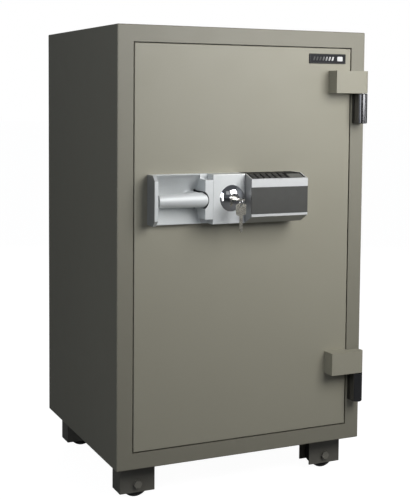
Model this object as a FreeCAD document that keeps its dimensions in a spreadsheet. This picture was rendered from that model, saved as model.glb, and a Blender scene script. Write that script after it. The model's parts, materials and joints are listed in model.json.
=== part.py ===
"""A free-standing fire safe on four rollers, with a lever handle, key lock and keypad.

Every piece is drawn in the carcass frame: x is 0 midway between the sides, y is 0 on the front
face and grows towards the back, and z is 0 on the underside of the carcass.  Each sub-part's
Placement then moves it to the model's frame, whose origin is the bottom centre of the whole box.
The safe is shut with its locking bolts drawn back, its lever level and its key in the lock.
"""
import FreeCAD, Part
import os
import re
import Sketcher

Vector = FreeCAD.Vector
Rotation = FreeCAD.Rotation

# name, millimetres (or as the note says), what it is
SIZES = [
    ("body_width", 572, "carcass, side to side"),
    ("body_depth", 483, "carcass, front to back"),
    ("body_height", 900, "carcass, underside to top"),
    ("body_edge", 2.5, "rounding of the carcass's outer edges"),
    ("shell_wall", 3, "outer sheet steel"),
    ("wall_depth", 58, "outer face to the compartment, at the sides, top and bottom"),
    ("back_depth", 62, "back face to the compartment"),
    ("liner_wall", 1.5, "inner sheet steel"),
    ("frame_margin", 34, "width of the frame that shows round the door"),
    ("rebate_depth", 22, "depth of the outer step that the door plate fills"),
    ("rebate_step", 16, "how far the inner throat stands in from the outer step"),
    ("throat_depth", 88, "front face to the compartment's front edge"),
    ("door_gap", 2.3, "gap all round the door plate"),
    ("door_plate", 20, "thickness of the door's front pan"),
    ("door_edge", 1.5, "rounding of the door's front edges"),
    ("plug_side_gap", 10, "inner plug to the throat, at the sides, so that it swings clear"),
    ("plug_end_gap", 5, "inner plug to the throat, at the top and bottom"),
    ("pan_depth", 50, "front face to the back of the filled part of the door"),
    ("plug_depth", 80, "front face to the back of the bolt cover"),
    ("cover_wall", 2, "bolt cover sheet"),
    ("seal_width", 11, "heat seal strip"),
    ("seal_thickness", 1.7, "heat seal strip"),
    ("seal_lap", 2, "seal strip in past the throat's edge"),
    ("bracket_width", 77, "roller bracket, sideways"),
    ("bracket_depth", 46, "roller bracket, front to back"),
    ("bracket_height", 64, "roller bracket, downwards"),
    ("bracket_sheet", 3, "roller bracket sheet"),
    ("bracket_side", 22.7, "roller bracket in from the carcass's side"),
    ("bracket_inset", 42, "front brackets back from the front face"),
    ("bracket_back_inset", 33, "rear brackets in from the back face"),
    ("wheel_radius", 30.5, "roller"),
    ("wheel_width", 30, "roller"),
    ("wheel_edge", 4, "rounding of the roller's tread edges"),
    ("wheel_recess", 3, "depth of the recess in each face of the roller"),
    ("wheel_hub_radius", 12, "roller hub"),
    ("wheel_rim", 7, "roller tread ring, between its outside and the recess"),
    ("axle_drop", 46, "underside to the axle"),
    ("axle_side", 61, "axle in from the carcass's side"),
    ("axle_radius", 5, "axle bolt"),
    ("axle_fit", 0.08, "radial running clearance in the roller"),
    ("axle_head_radius", 9, "axle bolt head and nut, across corners, halved"),
    ("axle_head", 6.4, "axle bolt head and nut height"),
    ("axle_tail", 3, "axle bolt past its nut"),
    ("hinge_side", 19, "hinge axis in from the carcass's side"),
    ("hinge_reach", 22, "hinge axis in front of the front face"),
    ("hinge_block_radius", 11.5, "rounded end of each hinge block"),
    ("hinge_block_reach", 71, "hinge block's inner end from the hinge axis"),
    ("hinge_foot_inset", 1.7, "hinge block's foot in from the door plate's edge"),
    ("hinge_block_height", 48, "hinge block"),
    ("hinge_low", 91, "lower knuckle's bottom above the underside"),
    ("hinge_drop", 197, "upper knuckle's bottom below the top"),
    ("knuckle_radius", 11.5, "hinge knuckle"),
    ("knuckle_height", 64.5, "hinge knuckle"),
    ("knuckle_chamfer", 1.5, "chamfer at both ends of a knuckle"),
    ("knuckle_foot_half", 11, "half the width of a knuckle's foot"),
    ("hinge_gap", 0.5, "knuckle to hinge block"),
    ("pin_radius", 6, "hinge pin"),
    ("pin_fit", 0.06, "radial running clearance of the hinge pin"),
    ("pin_depth", 32, "hinge pin into the block"),
    ("pin_seat", 56, "hinge pin into the knuckle"),
    ("console_left", 222, "left end of the handle housing from the middle"),
    ("console_split", 22.5, "handle housing's right end, left of the middle"),
    ("console_right", 108, "keypad housing's right end from the middle"),
    ("console_bottom", 500, "underside of both housings"),
    ("console_top", 601.5, "top of both housings"),
    ("console_reach", 40, "handle housing in front of the door"),
    ("console_wall", 4, "handle housing wall"),
    ("console_edge", 1.2, "rounding of the handle housing's front edges"),
    ("cheek_width", 7.7, "left cheek of the handle housing"),
    ("cheek_chamfer", 11, "chamfer at the cheek's front corners"),
    ("rim_reach", 13, "rim of the hand scoop in front of the door"),
    ("scoop_depth", 7.5, "deepest line of the hand scoop behind the door's face"),
    ("scoop_rim", 1.5, "scoop's long edges in from the housing's top and bottom"),
    ("scoop_right", 112, "right end of the hand scoop, left of the middle"),
    ("cup_wall", 2.5, "wall of the scoop where it sinks into the door"),
    ("cup_gap", 1, "scoop to the hole in the door's face"),
    ("tongue_inset", 10.5, "tongue in from the housing's top and bottom"),
    ("block_left", 95, "left face of the lock block, left of the middle"),
    ("tongue_back", 8, "tongue's back in front of the door"),
    ("handle_x", 125.5, "handle axis, left of the middle"),
    ("handle_z", 549.5, "handle axis above the underside"),
    ("handle_turn_clear", 1, "gap round the lever's hub end"),
    ("lever_end", 19.6, "radius of the lever's hub end about its axis"),
    ("lever_tip", 210, "lever's tip, left of the middle"),
    ("lever_reach", 28, "lever's middle in front of the door"),
    ("lever_hub_half_height", 15.75, "lever at its hub"),
    ("lever_hub_half_depth", 13, "lever at its hub"),
    ("lever_tip_half_height", 12.75, "lever at its tip"),
    ("lever_tip_half_depth", 12, "lever at its tip"),
    ("boss_radius", 16, "boss behind the lever"),
    ("boss_gap", 1, "boss to the scoop's wall"),
    ("spindle_radius", 6, "handle spindle"),
    ("spindle_fit", 0.06, "radial running clearance of the spindle"),
    ("spindle_seat", 12, "spindle into the lever, measured from the door's face"),
    ("fill_clear", 1.5, "space round what passes through the filling"),
    ("crank_radius", 23.5, "crank disc"),
    ("crank_start", 51, "front of the crank disc behind the front face"),
    ("crank_thickness", 5, "crank disc"),
    ("handle_sweep", 60, "degrees that the lever turns down"),
    ("throw", 18, "bolt throw"),
    ("crank_pin_radius", 4, "crank pin"),
    ("crank_pin_clear", 0.5, "crank pin to its slot, each side"),
    ("bar_front", 57, "front of the bolt bar behind the front face"),
    ("bar_thickness", 6, "bolt bar"),
    ("bar_right", 160, "right edge of the bar's upright, left of the middle"),
    ("bar_width", 16, "bar's upright"),
    ("bar_over", 20, "bar's upright past the end bolts"),
    ("arm_low", 553, "bottom of the bar's arm at the crank"),
    ("arm_step", 567, "bottom of the bar's arm at the lock"),
    ("arm_top", 596, "top of the bar's arm"),
    ("arm_right", 22, "right end of the bar's arm, left of the middle"),
    ("bolt_radius", 9, "locking bolts"),
    ("bolt_plane", 62, "locking bolts' axis behind the front face"),
    ("bolt_tip_inset", 1, "drawn bolts' tips in from the plug's side"),
    ("bolt_end", 150, "end bolts in from the underside and from the top"),
    ("bolt_fit", 0.08, "radial running clearance of a bolt in its guide"),
    ("bolt_hole_clear", 1.5, "bolt to the hole in the frame"),
    ("bolt_pocket", 12, "pocket behind each hole in the frame"),
    ("bolt_nose", 2, "chamfer on the bolts' noses"),
    ("guide_length", 22, "bolt guide"),
    ("guide_inset", 4, "bolt guide in from the plug's side"),
    ("guide_half", 12, "half the height of a bolt guide"),
    ("fixed_bolt_radius", 8, "fixed bolts on the hinge side"),
    ("fixed_bolt_plane", 40, "fixed bolts' axis behind the front face"),
    ("fixed_bolt_out", 17, "fixed bolts past the plug's side"),
    ("fixed_bolt_in", 26, "fixed bolts into the door"),
    ("fixed_hole_clear", 4, "fixed bolt to the hole in the frame"),
    ("lock_x", 52, "key lock's axis, left of the middle"),
    ("lock_z", 552, "key lock's axis above the underside"),
    ("rose_radius", 27.5, "domed lock rose"),
    ("rose_height", 12, "domed lock rose"),
    ("cylinder_radius", 11, "lock cylinder"),
    ("cylinder_back", 52, "back of the lock cylinder behind the front face"),
    ("cylinder_front_inset", 1, "lock cylinder's face behind the top of the rose"),
    ("plug_radius", 7, "turning plug of the lock"),
    ("plug_fit", 0.05, "radial running clearance of the plug"),
    ("keyway_half_width", 4.8, "keyway"),
    ("keyway_half_height", 1.3, "keyway"),
    ("keyway_depth", 33, "keyway"),
    ("tail_radius", 4, "plug's tail"),
    ("cam_radius", 9.5, "cam's boss"),
    ("cam_gap", 0.5, "cam's boss to the lock cylinder"),
    ("cam_reach", 22, "cam's tip from the lock's axis"),
    ("cam_half_width", 3.5, "cam's arm"),
    ("cam_depth", 4, "cam's arm, front to back"),
    ("notch_clear", 0.8, "cam or plunger to the bar's notch, each side"),
    ("notch_gap", 1, "lock case and open plunger to the bar"),
    ("case_wall", 1.5, "lock case"),
    ("case_gap", 0.4, "lock case to what moves in it"),
    ("plunger_radius", 3, "solenoid plunger"),
    ("plunger_x", 75, "solenoid's axis, left of the middle"),
    ("plunger_travel", 8, "solenoid plunger"),
    ("plunger_fit", 0.08, "radial running clearance of the plunger"),
    ("plunger_length", 43, "solenoid plunger"),
    ("solenoid_bottom", 612, "solenoid above the underside"),
    ("solenoid_height", 36, "solenoid"),
    ("solenoid_half_width", 14, "solenoid"),
    ("key_thickness", 1.8, "key blank"),
    ("key_blade_width", 7, "key blade"),
    ("key_blade_length", 31, "key blade"),
    ("key_neck", 4, "bare blade in front of the lock"),
    ("bow_width", 22, "key bow"),
    ("bow_length", 24, "key bow"),
    ("bow_corner", 5, "rounding of the key bow"),
    ("bow_hole_radius", 2.5, "hole in the key bow"),
    ("bow_hole_inset", 4.4, "hole's middle in from the bow's end"),
    ("ring_radius", 6.5, "key ring, to the middle of its wire"),
    ("ring_wire", 0.9, "radius of the key ring's wire"),
    ("ring_drop", 3.5, "ring's middle below the key in the lock"),
    ("ring_clear", 0.4, "ring to the keys, and key to key"),
    ("keypad_reach", 69, "keypad housing in front of the door"),
    ("keypad_wall", 3, "keypad housing wall"),
    ("keypad_top_drop", 9.5, "fall of the keypad's slope"),
    ("keypad_bottom_rise", 15.5, "rise of the keypad's underside"),
    ("panel_low", 520.5, "battery cover's bottom above the underside"),
    ("panel_high", 575.5, "battery cover's top above the underside"),
    ("panel_thickness", 2, "battery cover"),
    ("panel_gap", 0.3, "battery cover to its recess"),
    ("battery_radius", 7.1, "cell"),
    ("battery_length", 50, "cell"),
    ("battery_clear", 0.6, "round each cell"),
    ("battery_box_wall", 1.5, "battery box"),
    ("battery_box_left", 12, "battery box's left wall, left of the middle"),
    ("button_columns", 6, "count"),
    ("button_rows", 2, "count"),
    ("button_pitch", 13.5, "button to button along a row"),
    ("button_row_pitch", 13, "row to row"),
    ("button_size", 10.4, "button cap"),
    ("button_edge", 1, "rounding of a button's edges"),
    ("button_rise", 1.8, "button above the keypad's face"),
    ("button_depth", 3.4, "button below the keypad's face"),
    ("button_travel", 1, "how far a button goes down"),
    ("button_clear", 0.3, "button to its hole"),
    ("button_left", 13, "first button from the middle, to the left"),
    ("display_width", 32, "display window"),
    ("display_height", 21, "display window"),
    ("display_thickness", 1.6, "display window"),
    ("display_inset", 4, "display window in from the keypad's right end"),
    ("display_gap", 0.2, "display window to its recess"),
    ("board_thickness", 1.6, "circuit board"),
    ("board_gap", 1.4, "pressed button to the circuit board"),
    ("badge_side", 13.5, "badge plate in from the door plate's right edge"),
    ("badge_width", 90, "badge plate"),
    ("badge_height", 21, "badge plate"),
    ("badge_drop", 48, "badge plate's top below the carcass's top"),
    ("badge_thickness", 1.5, "badge plate"),
    ("shelf_low", 320, "lower shelf above the underside"),
    ("shelf_high", 585, "upper shelf above the underside"),
    ("shelf_lip", 18, "turned-down edges of a shelf"),
    ("shelf_sheet", 1.5, "shelf sheet"),
    ("shelf_clear", 1.5, "shelf to the compartment's sides"),
    ("shelf_front_gap", 20, "shelf back from the compartment's front"),
    ("shelf_back_gap", 12, "shelf to the compartment's back"),
    ("clip_length", 12, "shelf clip out from the wall"),
    ("clip_width", 16, "shelf clip, front to back"),
    ("clip_thickness", 3, "shelf clip"),
    ("clip_inset", 40, "shelf clip in from the shelf's front and back"),
    ("screw_radius", 2.5, "cover screws"),
    ("screw_head_radius", 5, "cover screws"),
    ("screw_head", 2.6, "cover screws"),
    ("screw_side", 13, "cover screws in from the plug's sides"),
    ("screw_end", 45, "end screws in from the plug's ends"),
]

# name, formula, what it is; a later one may use an earlier one
PLACES = [
    ("half_body", "body_width/2", "carcass side"),
    ("half_opening", "half_body - frame_margin", "outer step of the opening"),
    ("opening_top", "body_height - frame_margin", "outer step of the opening"),
    ("half_throat", "half_opening - rebate_step", "inner throat"),
    ("throat_low", "frame_margin + rebate_step", "inner throat"),
    ("throat_high", "opening_top - rebate_step", "inner throat"),
    ("hinge_high", "body_height - hinge_drop", "upper knuckle's bottom"),
    ("bolt_low", "bolt_end", "lowest bolts"),
    ("bolt_mid", "body_height/2", "middle bolts"),
    ("bolt_high", "body_height - bolt_end", "highest bolts"),
    ("half_room", "half_body - wall_depth", "compartment"),
    ("room_top", "body_height - wall_depth", "compartment"),
    ("room_back", "body_depth - back_depth", "compartment"),
    ("half_door", "half_opening - door_gap", "door plate"),
    ("hinge_x", "half_body - hinge_side", "hinge axis"),
    ("hinge_block_left", "hinge_x - hinge_block_reach", "hinge block's inner end"),
    ("hinge_block_foot", "half_door - hinge_foot_inset", "hinge block's foot"),
    ("badge_left", "half_door - badge_side - badge_width", "badge plate's left end"),
    ("door_low", "frame_margin + door_gap", "door plate"),
    ("door_high", "opening_top - door_gap", "door plate"),
    ("half_plug", "half_throat - plug_side_gap", "door's inner plug"),
    ("plug_low", "throat_low + plug_end_gap", "door's inner plug"),
    ("plug_high", "throat_high - plug_end_gap", "door's inner plug"),
    ("rose_front", "console_reach + rose_height", "top of the lock rose"),
    ("key_start", "rose_front + key_neck", "key bow's near end"),
    ("bow_end", "key_start + bow_length", "key bow's far end"),
    ("spare_reach", "bow_end + ring_clear + key_thickness/2", "hanging key's middle plane"),
    ("front_reach", "spare_reach + ring_radius + ring_wire", "the furthest thing in front"),
    ("centre", "(front_reach - body_depth)/2", "carcass front in the model's frame"),
    ("lift", "axle_drop + wheel_radius", "underside in the model's frame"),
    ("slope_run", "keypad_reach - console_reach", "keypad slope, front to back"),
    ("slope_angle", "atan(keypad_top_drop/slope_run)", "degrees"),
    ("slope_length", "sqrt(slope_run^2 + keypad_top_drop^2)", "keypad slope"),
    ("slope_y", "-(keypad_reach + console_reach)/2", "middle of the keypad slope"),
    ("slope_z", "console_top - keypad_top_drop/2", "middle of the keypad slope"),
    ("scoop_half", "(console_top - console_bottom)/2 - scoop_rim", "half the scoop's chord"),
    ("scoop_sag", "rim_reach + scoop_depth", "scoop's depth behind its rim"),
    ("scoop_radius", "(scoop_half^2 + scoop_sag^2)/(2*scoop_sag)", "scoop's arc"),
    ("console_mid", "(console_top + console_bottom)/2", "scoop's middle"),
    ("crank_pin_circle", "throw/(2*sin(handle_sweep/2))", "crank pin's radius about the handle's axis"),
    ("crank_pin_x", "-handle_x + throw/2", "crank pin with the lever level"),
    ("crank_pin_z", "handle_z + crank_pin_circle*cos(handle_sweep/2)", "crank pin with the lever level"),
    ("crank_pin_room", "crank_pin_radius + crank_pin_clear", "half the width of the crank pin's slot"),
    ("cam_front", "cylinder_back + cam_gap", "front of the cam's boss"),
    ("cam_back", "bar_front + cam_depth", "back of the cam"),
    ("bolt_tip", "-half_plug + bolt_tip_inset", "drawn bolts' tips"),
    ("frame_sheet", "shell_wall", "door frame sheet"),
    ("bar_left", "-bar_right - bar_width", "bar's upright"),
    ("battery_y", "-keypad_reach + keypad_wall + battery_radius + battery_clear", "cells' axes"),
    ("panel_mid", "(panel_low + panel_high)/2", "battery cover's middle"),
    ("cell_rise", "battery_radius + battery_clear/2", "cells above and below the middle"),
    ("box_half", "2*battery_radius + 1.5*battery_clear", "half the battery box's height inside"),
    ("box_length", "2*battery_length + 3*battery_clear", "battery box inside"),
    ("face_left", "-console_split + keypad_wall", "keypad's black top, left end"),
    ("face_right", "console_right - keypad_wall", "keypad's black top, right end"),
]

doc = FreeCAD.newDocument("safe")


def make_sheet():
    """Put the driving sizes in a spreadsheet, one to a row, each with its alias."""
    sheet = doc.addObject("Spreadsheet::Sheet", "Sizes")
    for row, (name, value, note) in enumerate(SIZES, start=1):
        sheet.set(f"A{row}", name)
        sheet.set(f"B{row}", str(value))
        sheet.set(f"C{row}", note)
        sheet.setAlias(f"B{row}", name)
    doc.recompute()
    return sheet


def make_places():
    """Work out the shared places from the sheet, as a set of bound values."""
    places = doc.addObject("App::VarSet", "Places")
    for name, text, note in PLACES:
        places.addProperty("App::PropertyFloat", name, "Places", note)
        places.setExpression(name, formula(text))
    doc.recompute()
    return places


SIZE_NAMES = {name for name, _, _ in SIZES}
PLACE_NAMES = {name for name, _, _ in PLACES}


def formula(text):
    """Name the object that each size or place in a formula belongs to."""

    def owner(match):
        word = match.group(0)
        if word in SIZE_NAMES:
            return "Sizes." + word
        if word in PLACE_NAMES:
            return "Places." + word
        return word

    return re.sub(r"[a-z][a-z_0-9]*", owner, str(text))


sheet = make_sheet()
places = make_places()


def value(name):
    """A size or place as a number, for the few shapes that are computed directly."""
    return float(getattr(places, name) if name in PLACE_NAMES else getattr(sheet, name))


def bind(thing, **formulas):
    """Bind properties to formulas; x, y and z mean the base of the placement."""
    for prop, text in formulas.items():
        path = f".Placement.Base.{prop}" if prop in ("x", "y", "z") else prop
        thing.setExpression(path, formula(text))
    return thing


# ---------------------------------------------------------------- solids in the carcass frame

FULL_TURN = 360
QUARTER_TURN = 90
TURN = {
    "X": Rotation(Vector(0, 1, 0), QUARTER_TURN),
    "Y": Rotation(Vector(1, 0, 0), -QUARTER_TURN),
    "Z": Rotation(),
}


def block(name, x, y, z):
    """A box between pairs of formulas along each axis."""
    solid = doc.addObject("Part::Box", name)
    bind(solid, Length=f"({x[1]}) - ({x[0]})", Width=f"({y[1]}) - ({y[0]})")
    bind(solid, Height=f"({z[1]}) - ({z[0]})", x=x[0], y=y[0], z=z[0])
    return solid


def rod(name, axis, radius, x, y, z):
    """A cylinder along an axis; the axis's own coordinate is a pair of formulas."""
    solid = doc.addObject("Part::Cylinder", name)
    solid.Placement = FreeCAD.Placement(Vector(), TURN[axis])
    start, end = {"X": x, "Y": y, "Z": z}[axis]
    at = {"X": (start, y, z), "Y": (x, start, z), "Z": (x, y, start)}[axis]
    bind(solid, Radius=radius, Height=f"({end}) - ({start})", x=at[0], y=at[1], z=at[2])
    return solid


def hexagon(name, radius, x, y, z):
    """A six-sided prism along y, its corners on the given radius."""
    solid = doc.addObject("Part::Prism", name)
    solid.Polygon = 6
    solid.Placement = FreeCAD.Placement(Vector(), TURN["Y"])
    bind(solid, Circumradius=radius, Height=f"({y[1]}) - ({y[0]})", x=x, y=y[0], z=z)
    return solid


def ball(name, radius, x, y, z):
    solid = doc.addObject("Part::Sphere", name)
    return bind(solid, Radius=radius, x=x, y=y, z=z)


def fuse(name, *solids):
    joined = doc.addObject("Part::MultiFuse", name)
    joined.Shapes = list(solids)
    joined.Refine = True
    return joined


def common(name, first, second):
    shared = doc.addObject("Part::Common", name)
    shared.Base = first
    shared.Tool = second
    return shared


def cut(name, base, *tools):
    """The base less every tool."""
    result = doc.addObject("Part::Cut", name)
    result.Base = base
    result.Tool = tools[0] if len(tools) == 1 else group(name + "_tools", *tools)
    return result


def group(name, *solids):
    """Separate solids kept together, such as one node of like fasteners."""
    bundle = doc.addObject("Part::Compound", name)
    bundle.Links = list(solids)
    return bundle


def edges_where(shape, test):
    """Names of the edges whose middle point and direction pass a test."""
    names = []
    for number, edge in enumerate(shape.Edges, start=1):
        middle = edge.valueAt((edge.FirstParameter + edge.LastParameter) / 2)
        along = edge.tangentAt((edge.FirstParameter + edge.LastParameter) / 2)
        if test(middle, along):
            names.append(f"Edge{number}")
    return names


def faces_where(shape, test):
    """Names of the faces whose centre and outward normal pass a test."""
    names = []
    for number, face in enumerate(shape.Faces, start=1):
        low_u, high_u, low_v, high_v = face.ParameterRange
        normal = face.normalAt((low_u + high_u) / 2, (low_v + high_v) / 2)
        if test(face.CenterOfMass, normal):
            names.append(f"Face{number}")
    return names


def origin_plane(body, role):
    return next(item for item in body.Origin.OriginFeatures if item.Role == role)


def outline(body, name, role, corners, offset="0"):
    """A closed sketch through corners given as pairs of formulas, set off its plane."""
    sketch = body.newObject("Sketcher::SketchObject", name)
    sketch.AttachmentSupport = [(origin_plane(body, role), "")]
    sketch.MapMode = "FlatFace"
    sketch.setExpression(".AttachmentOffset.Base.z", formula(offset))
    points = [tuple(measure(text) for text in corner) for corner in corners]
    count = len(points)
    for first in range(count):
        start, end = points[first], points[(first + 1) % count]
        sketch.addGeometry(Part.LineSegment(Vector(*start, 0), Vector(*end, 0)), False)
    for first in range(count):
        sketch.addConstraint(Sketcher.Constraint("Coincident", first, 2, (first + 1) % count, 1))
    for first, corner in enumerate(corners):
        for kind, text, size in zip(("DistanceX", "DistanceY"), corner, points[first]):
            number = sketch.addConstraint(Sketcher.Constraint(kind, -1, 1, first, 1, size))
            sketch.setExpression(f"Constraints[{number}]", formula(text))
    return sketch


def measure(text):
    """A formula's value now, read back through a scratch property of the places."""
    if "scratch" not in places.PropertiesList:
        places.addProperty("App::PropertyFloat", "scratch", "Scratch", "for first drawings")
    places.setExpression("scratch", formula(text))
    places.recompute()
    result = float(places.scratch)
    places.setExpression("scratch", None)
    return result


def new_body(name):
    return doc.addObject("PartDesign::Body", name)


def pad(body, name, sketch, length, reverse=False):
    feature = body.newObject("PartDesign::Pad", name)
    feature.Profile = sketch
    feature.Reversed = reverse
    bind(feature, Length=length)
    doc.recompute()
    return feature


def turned(body, name, sketch, axis):
    """A full revolution of a sketch about one of its own axes."""
    feature = body.newObject("PartDesign::Revolution", name)
    feature.Profile = sketch
    feature.ReferenceAxis = (sketch, [axis])
    feature.Angle = FULL_TURN
    doc.recompute()
    return feature


def softened(body, name, kind, base, edges, size):
    """A Fillet or Chamfer on some edges of a feature."""
    feature = body.newObject("PartDesign::" + kind, name)
    feature.Base = (base, edges)
    bind(feature, **{"Radius" if kind == "Fillet" else "Size": size})
    doc.recompute()
    return feature


SUB_PARTS = []


def sub_part(label, thing, x="0", y="0", z="0"):
    """Name a finished piece and place it; x, y and z move it from the carcass frame's origin."""
    thing.Label = label
    bind(thing, x=x, y=f"centre + ({y})", z=f"lift + ({z})")
    SUB_PARTS.append(thing)
    return thing


# ---------------------------------------------------------------- carcass


def rounded_box(name, x, y, z, edge, radius):
    """A box padded from a front outline, with the wanted edges rounded."""
    body = new_body(name)
    corners = [(x[0], z[0]), (x[1], z[0]), (x[1], z[1]), (x[0], z[1])]
    sketch = outline(body, name + "_outline", "XZ_Plane", corners, f"-({y[0]})")
    solid = pad(body, name + "_pad", sketch, f"({y[1]}) - ({y[0]})", reverse=True)
    softened(body, name + "_edges", "Fillet", solid, edges_where(solid.Shape, edge), radius)
    return body


def any_edge(middle, direction):
    return True


def make_outer_shell():
    """Folded and welded sheet box, with a flange round the door opening."""
    skin = rounded_box(
        "shell_skin", ("-half_body", "half_body"), ("0", "body_depth"), ("0", "body_height"),
        any_edge, "body_edge",
    )
    inside = block(
        "shell_inside", ("-half_body + shell_wall", "half_body - shell_wall"),
        ("shell_wall", "body_depth - shell_wall"), ("shell_wall", "body_height - shell_wall"),
    )
    mouth = block(
        "shell_mouth", ("-half_opening", "half_opening"), ("-shell_wall", "2*shell_wall"),
        ("frame_margin", "opening_top"),
    )
    sub_part("outer_shell", cut("outer_shell", skin, inside, mouth))


BOLT_HEIGHTS = ("bolt_low", "bolt_mid", "bolt_high")


def frame_holes(name, reach, clear):
    """Holes for the locking bolts on the left and for the fixed bolts on the right."""
    holes = []
    for height in BOLT_HEIGHTS:
        holes.append(rod(
            f"{name}_{height}_left", "X", f"bolt_radius + {clear}*bolt_hole_clear",
            (f"-half_throat - ({reach})", "-half_throat + frame_sheet"), "bolt_plane", height,
        ))
        holes.append(rod(
            f"{name}_{height}_right", "X", f"fixed_bolt_radius + {clear}*fixed_hole_clear",
            ("half_throat - frame_sheet", f"half_throat + ({reach})"), "fixed_bolt_plane", height,
        ))
    return holes


def make_door_frame():
    """Stepped throat of folded sheet behind the front flange."""
    front = block(
        "frame_rebate", ("-half_opening - frame_sheet", "half_opening + frame_sheet"),
        ("shell_wall", "rebate_depth + frame_sheet"),
        ("frame_margin - frame_sheet", "opening_top + frame_sheet"),
    )
    back = block(
        "frame_throat", ("-half_throat - frame_sheet", "half_throat + frame_sheet"),
        ("rebate_depth", "throat_depth"),
        ("throat_low - frame_sheet", "throat_high + frame_sheet"),
    )
    front_mouth = block(
        "frame_rebate_mouth", ("-half_opening", "half_opening"), ("0", "rebate_depth"),
        ("frame_margin", "opening_top"),
    )
    back_mouth = block(
        "frame_throat_mouth", ("-half_throat", "half_throat"),
        ("0", "throat_depth + frame_sheet"), ("throat_low", "throat_high"),
    )
    holes = frame_holes("frame_hole", "2*frame_sheet", 1)
    whole = fuse("frame_sheets", front, back)
    sub_part("door_frame", cut("door_frame", whole, front_mouth, back_mouth, *holes))


def make_inner_liner():
    """Sheet box of the compartment, with a front flange that meets the throat."""
    outside = block(
        "liner_outside", ("-half_room - liner_wall", "half_room + liner_wall"),
        ("throat_depth", "room_back + liner_wall"),
        ("wall_depth - liner_wall", "room_top + liner_wall"),
    )
    flange = block(
        "liner_flange", ("-half_throat - frame_sheet", "half_throat + frame_sheet"),
        ("throat_depth", "throat_depth + liner_wall"),
        ("throat_low - frame_sheet", "throat_high + frame_sheet"),
    )
    room = block(
        "liner_room", ("-half_room", "half_room"), ("throat_depth - liner_wall", "room_back"),
        ("wall_depth", "room_top"),
    )
    sub_part("inner_liner", cut("inner_liner", fuse("liner_sheets", outside, flange), room))


def make_body_fill():
    """Fire-resistant filling between the shell, the frame and the liner."""
    whole = block(
        "fill_whole", ("-half_body + shell_wall", "half_body - shell_wall"),
        ("shell_wall", "body_depth - shell_wall"), ("shell_wall", "body_height - shell_wall"),
    )
    rebate = block(
        "fill_rebate", ("-half_opening - frame_sheet", "half_opening + frame_sheet"),
        ("0", "rebate_depth + frame_sheet"),
        ("frame_margin - frame_sheet", "opening_top + frame_sheet"),
    )
    throat = block(
        "fill_throat", ("-half_throat - frame_sheet", "half_throat + frame_sheet"),
        ("0", "throat_depth + liner_wall"),
        ("throat_low - frame_sheet", "throat_high + frame_sheet"),
    )
    room = block(
        "fill_room", ("-half_room - liner_wall", "half_room + liner_wall"),
        ("0", "room_back + liner_wall"), ("wall_depth - liner_wall", "room_top + liner_wall"),
    )
    pockets = frame_holes("fill_pocket", "frame_sheet + bolt_pocket", 1)
    sub_part("body_fill", cut("body_fill", whole, rebate, throat, room, *pockets))


def make_shelves():
    """Two lift-out sheet shelves with turned-down front and back edges, on clips."""
    front = "throat_depth + shelf_front_gap"
    back = "room_back - shelf_back_gap"
    clips = []
    for label, level in (("shelf_lower", "shelf_low"), ("shelf_upper", "shelf_high")):
        sheet_block = block(
            label + "_block", ("-half_room + shelf_clear", "half_room - shelf_clear"),
            (front, back), (f"{level} - shelf_lip", level),
        )
        hollow = block(
            label + "_hollow", ("-half_room", "half_room"),
            (f"{front} + shelf_sheet", f"{back} - shelf_sheet"),
            (f"{level} - 2*shelf_lip", f"{level} - shelf_sheet"),
        )
        sub_part(label, cut(label, sheet_block, hollow))
        for side in (-1, 1):
            outer, inner = f"{side}*half_room", f"{side}*(half_room - clip_length)"
            across = (outer, inner) if side < 0 else (inner, outer)
            for end, start in (("front", f"{front} + clip_inset"),
                               ("back", f"{back} - clip_inset - clip_width")):
                clips.append(block(
                    f"{label}_clip_{end}_{'left' if side < 0 else 'right'}", across,
                    (start, f"{start} + clip_width"),
                    (f"{level} - shelf_sheet - clip_thickness", f"{level} - shelf_sheet"),
                ))
    sub_part("shelf_clips", group("shelf_clips", *clips))


# ---------------------------------------------------------------- rollers

CORNERS = [
    ("front_left", -1, "bracket_inset"),
    ("front_right", 1, "bracket_inset"),
    ("rear_left", -1, "body_depth - bracket_back_inset - bracket_depth"),
    ("rear_right", 1, "body_depth - bracket_back_inset - bracket_depth"),
]


def ordered(side, near, far):
    """A pair of formulas, mirrored to a side and given low to high."""
    pair = (f"{side}*({near})", f"{side}*({far})")
    return pair if side > 0 else (pair[1], pair[0])


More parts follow.
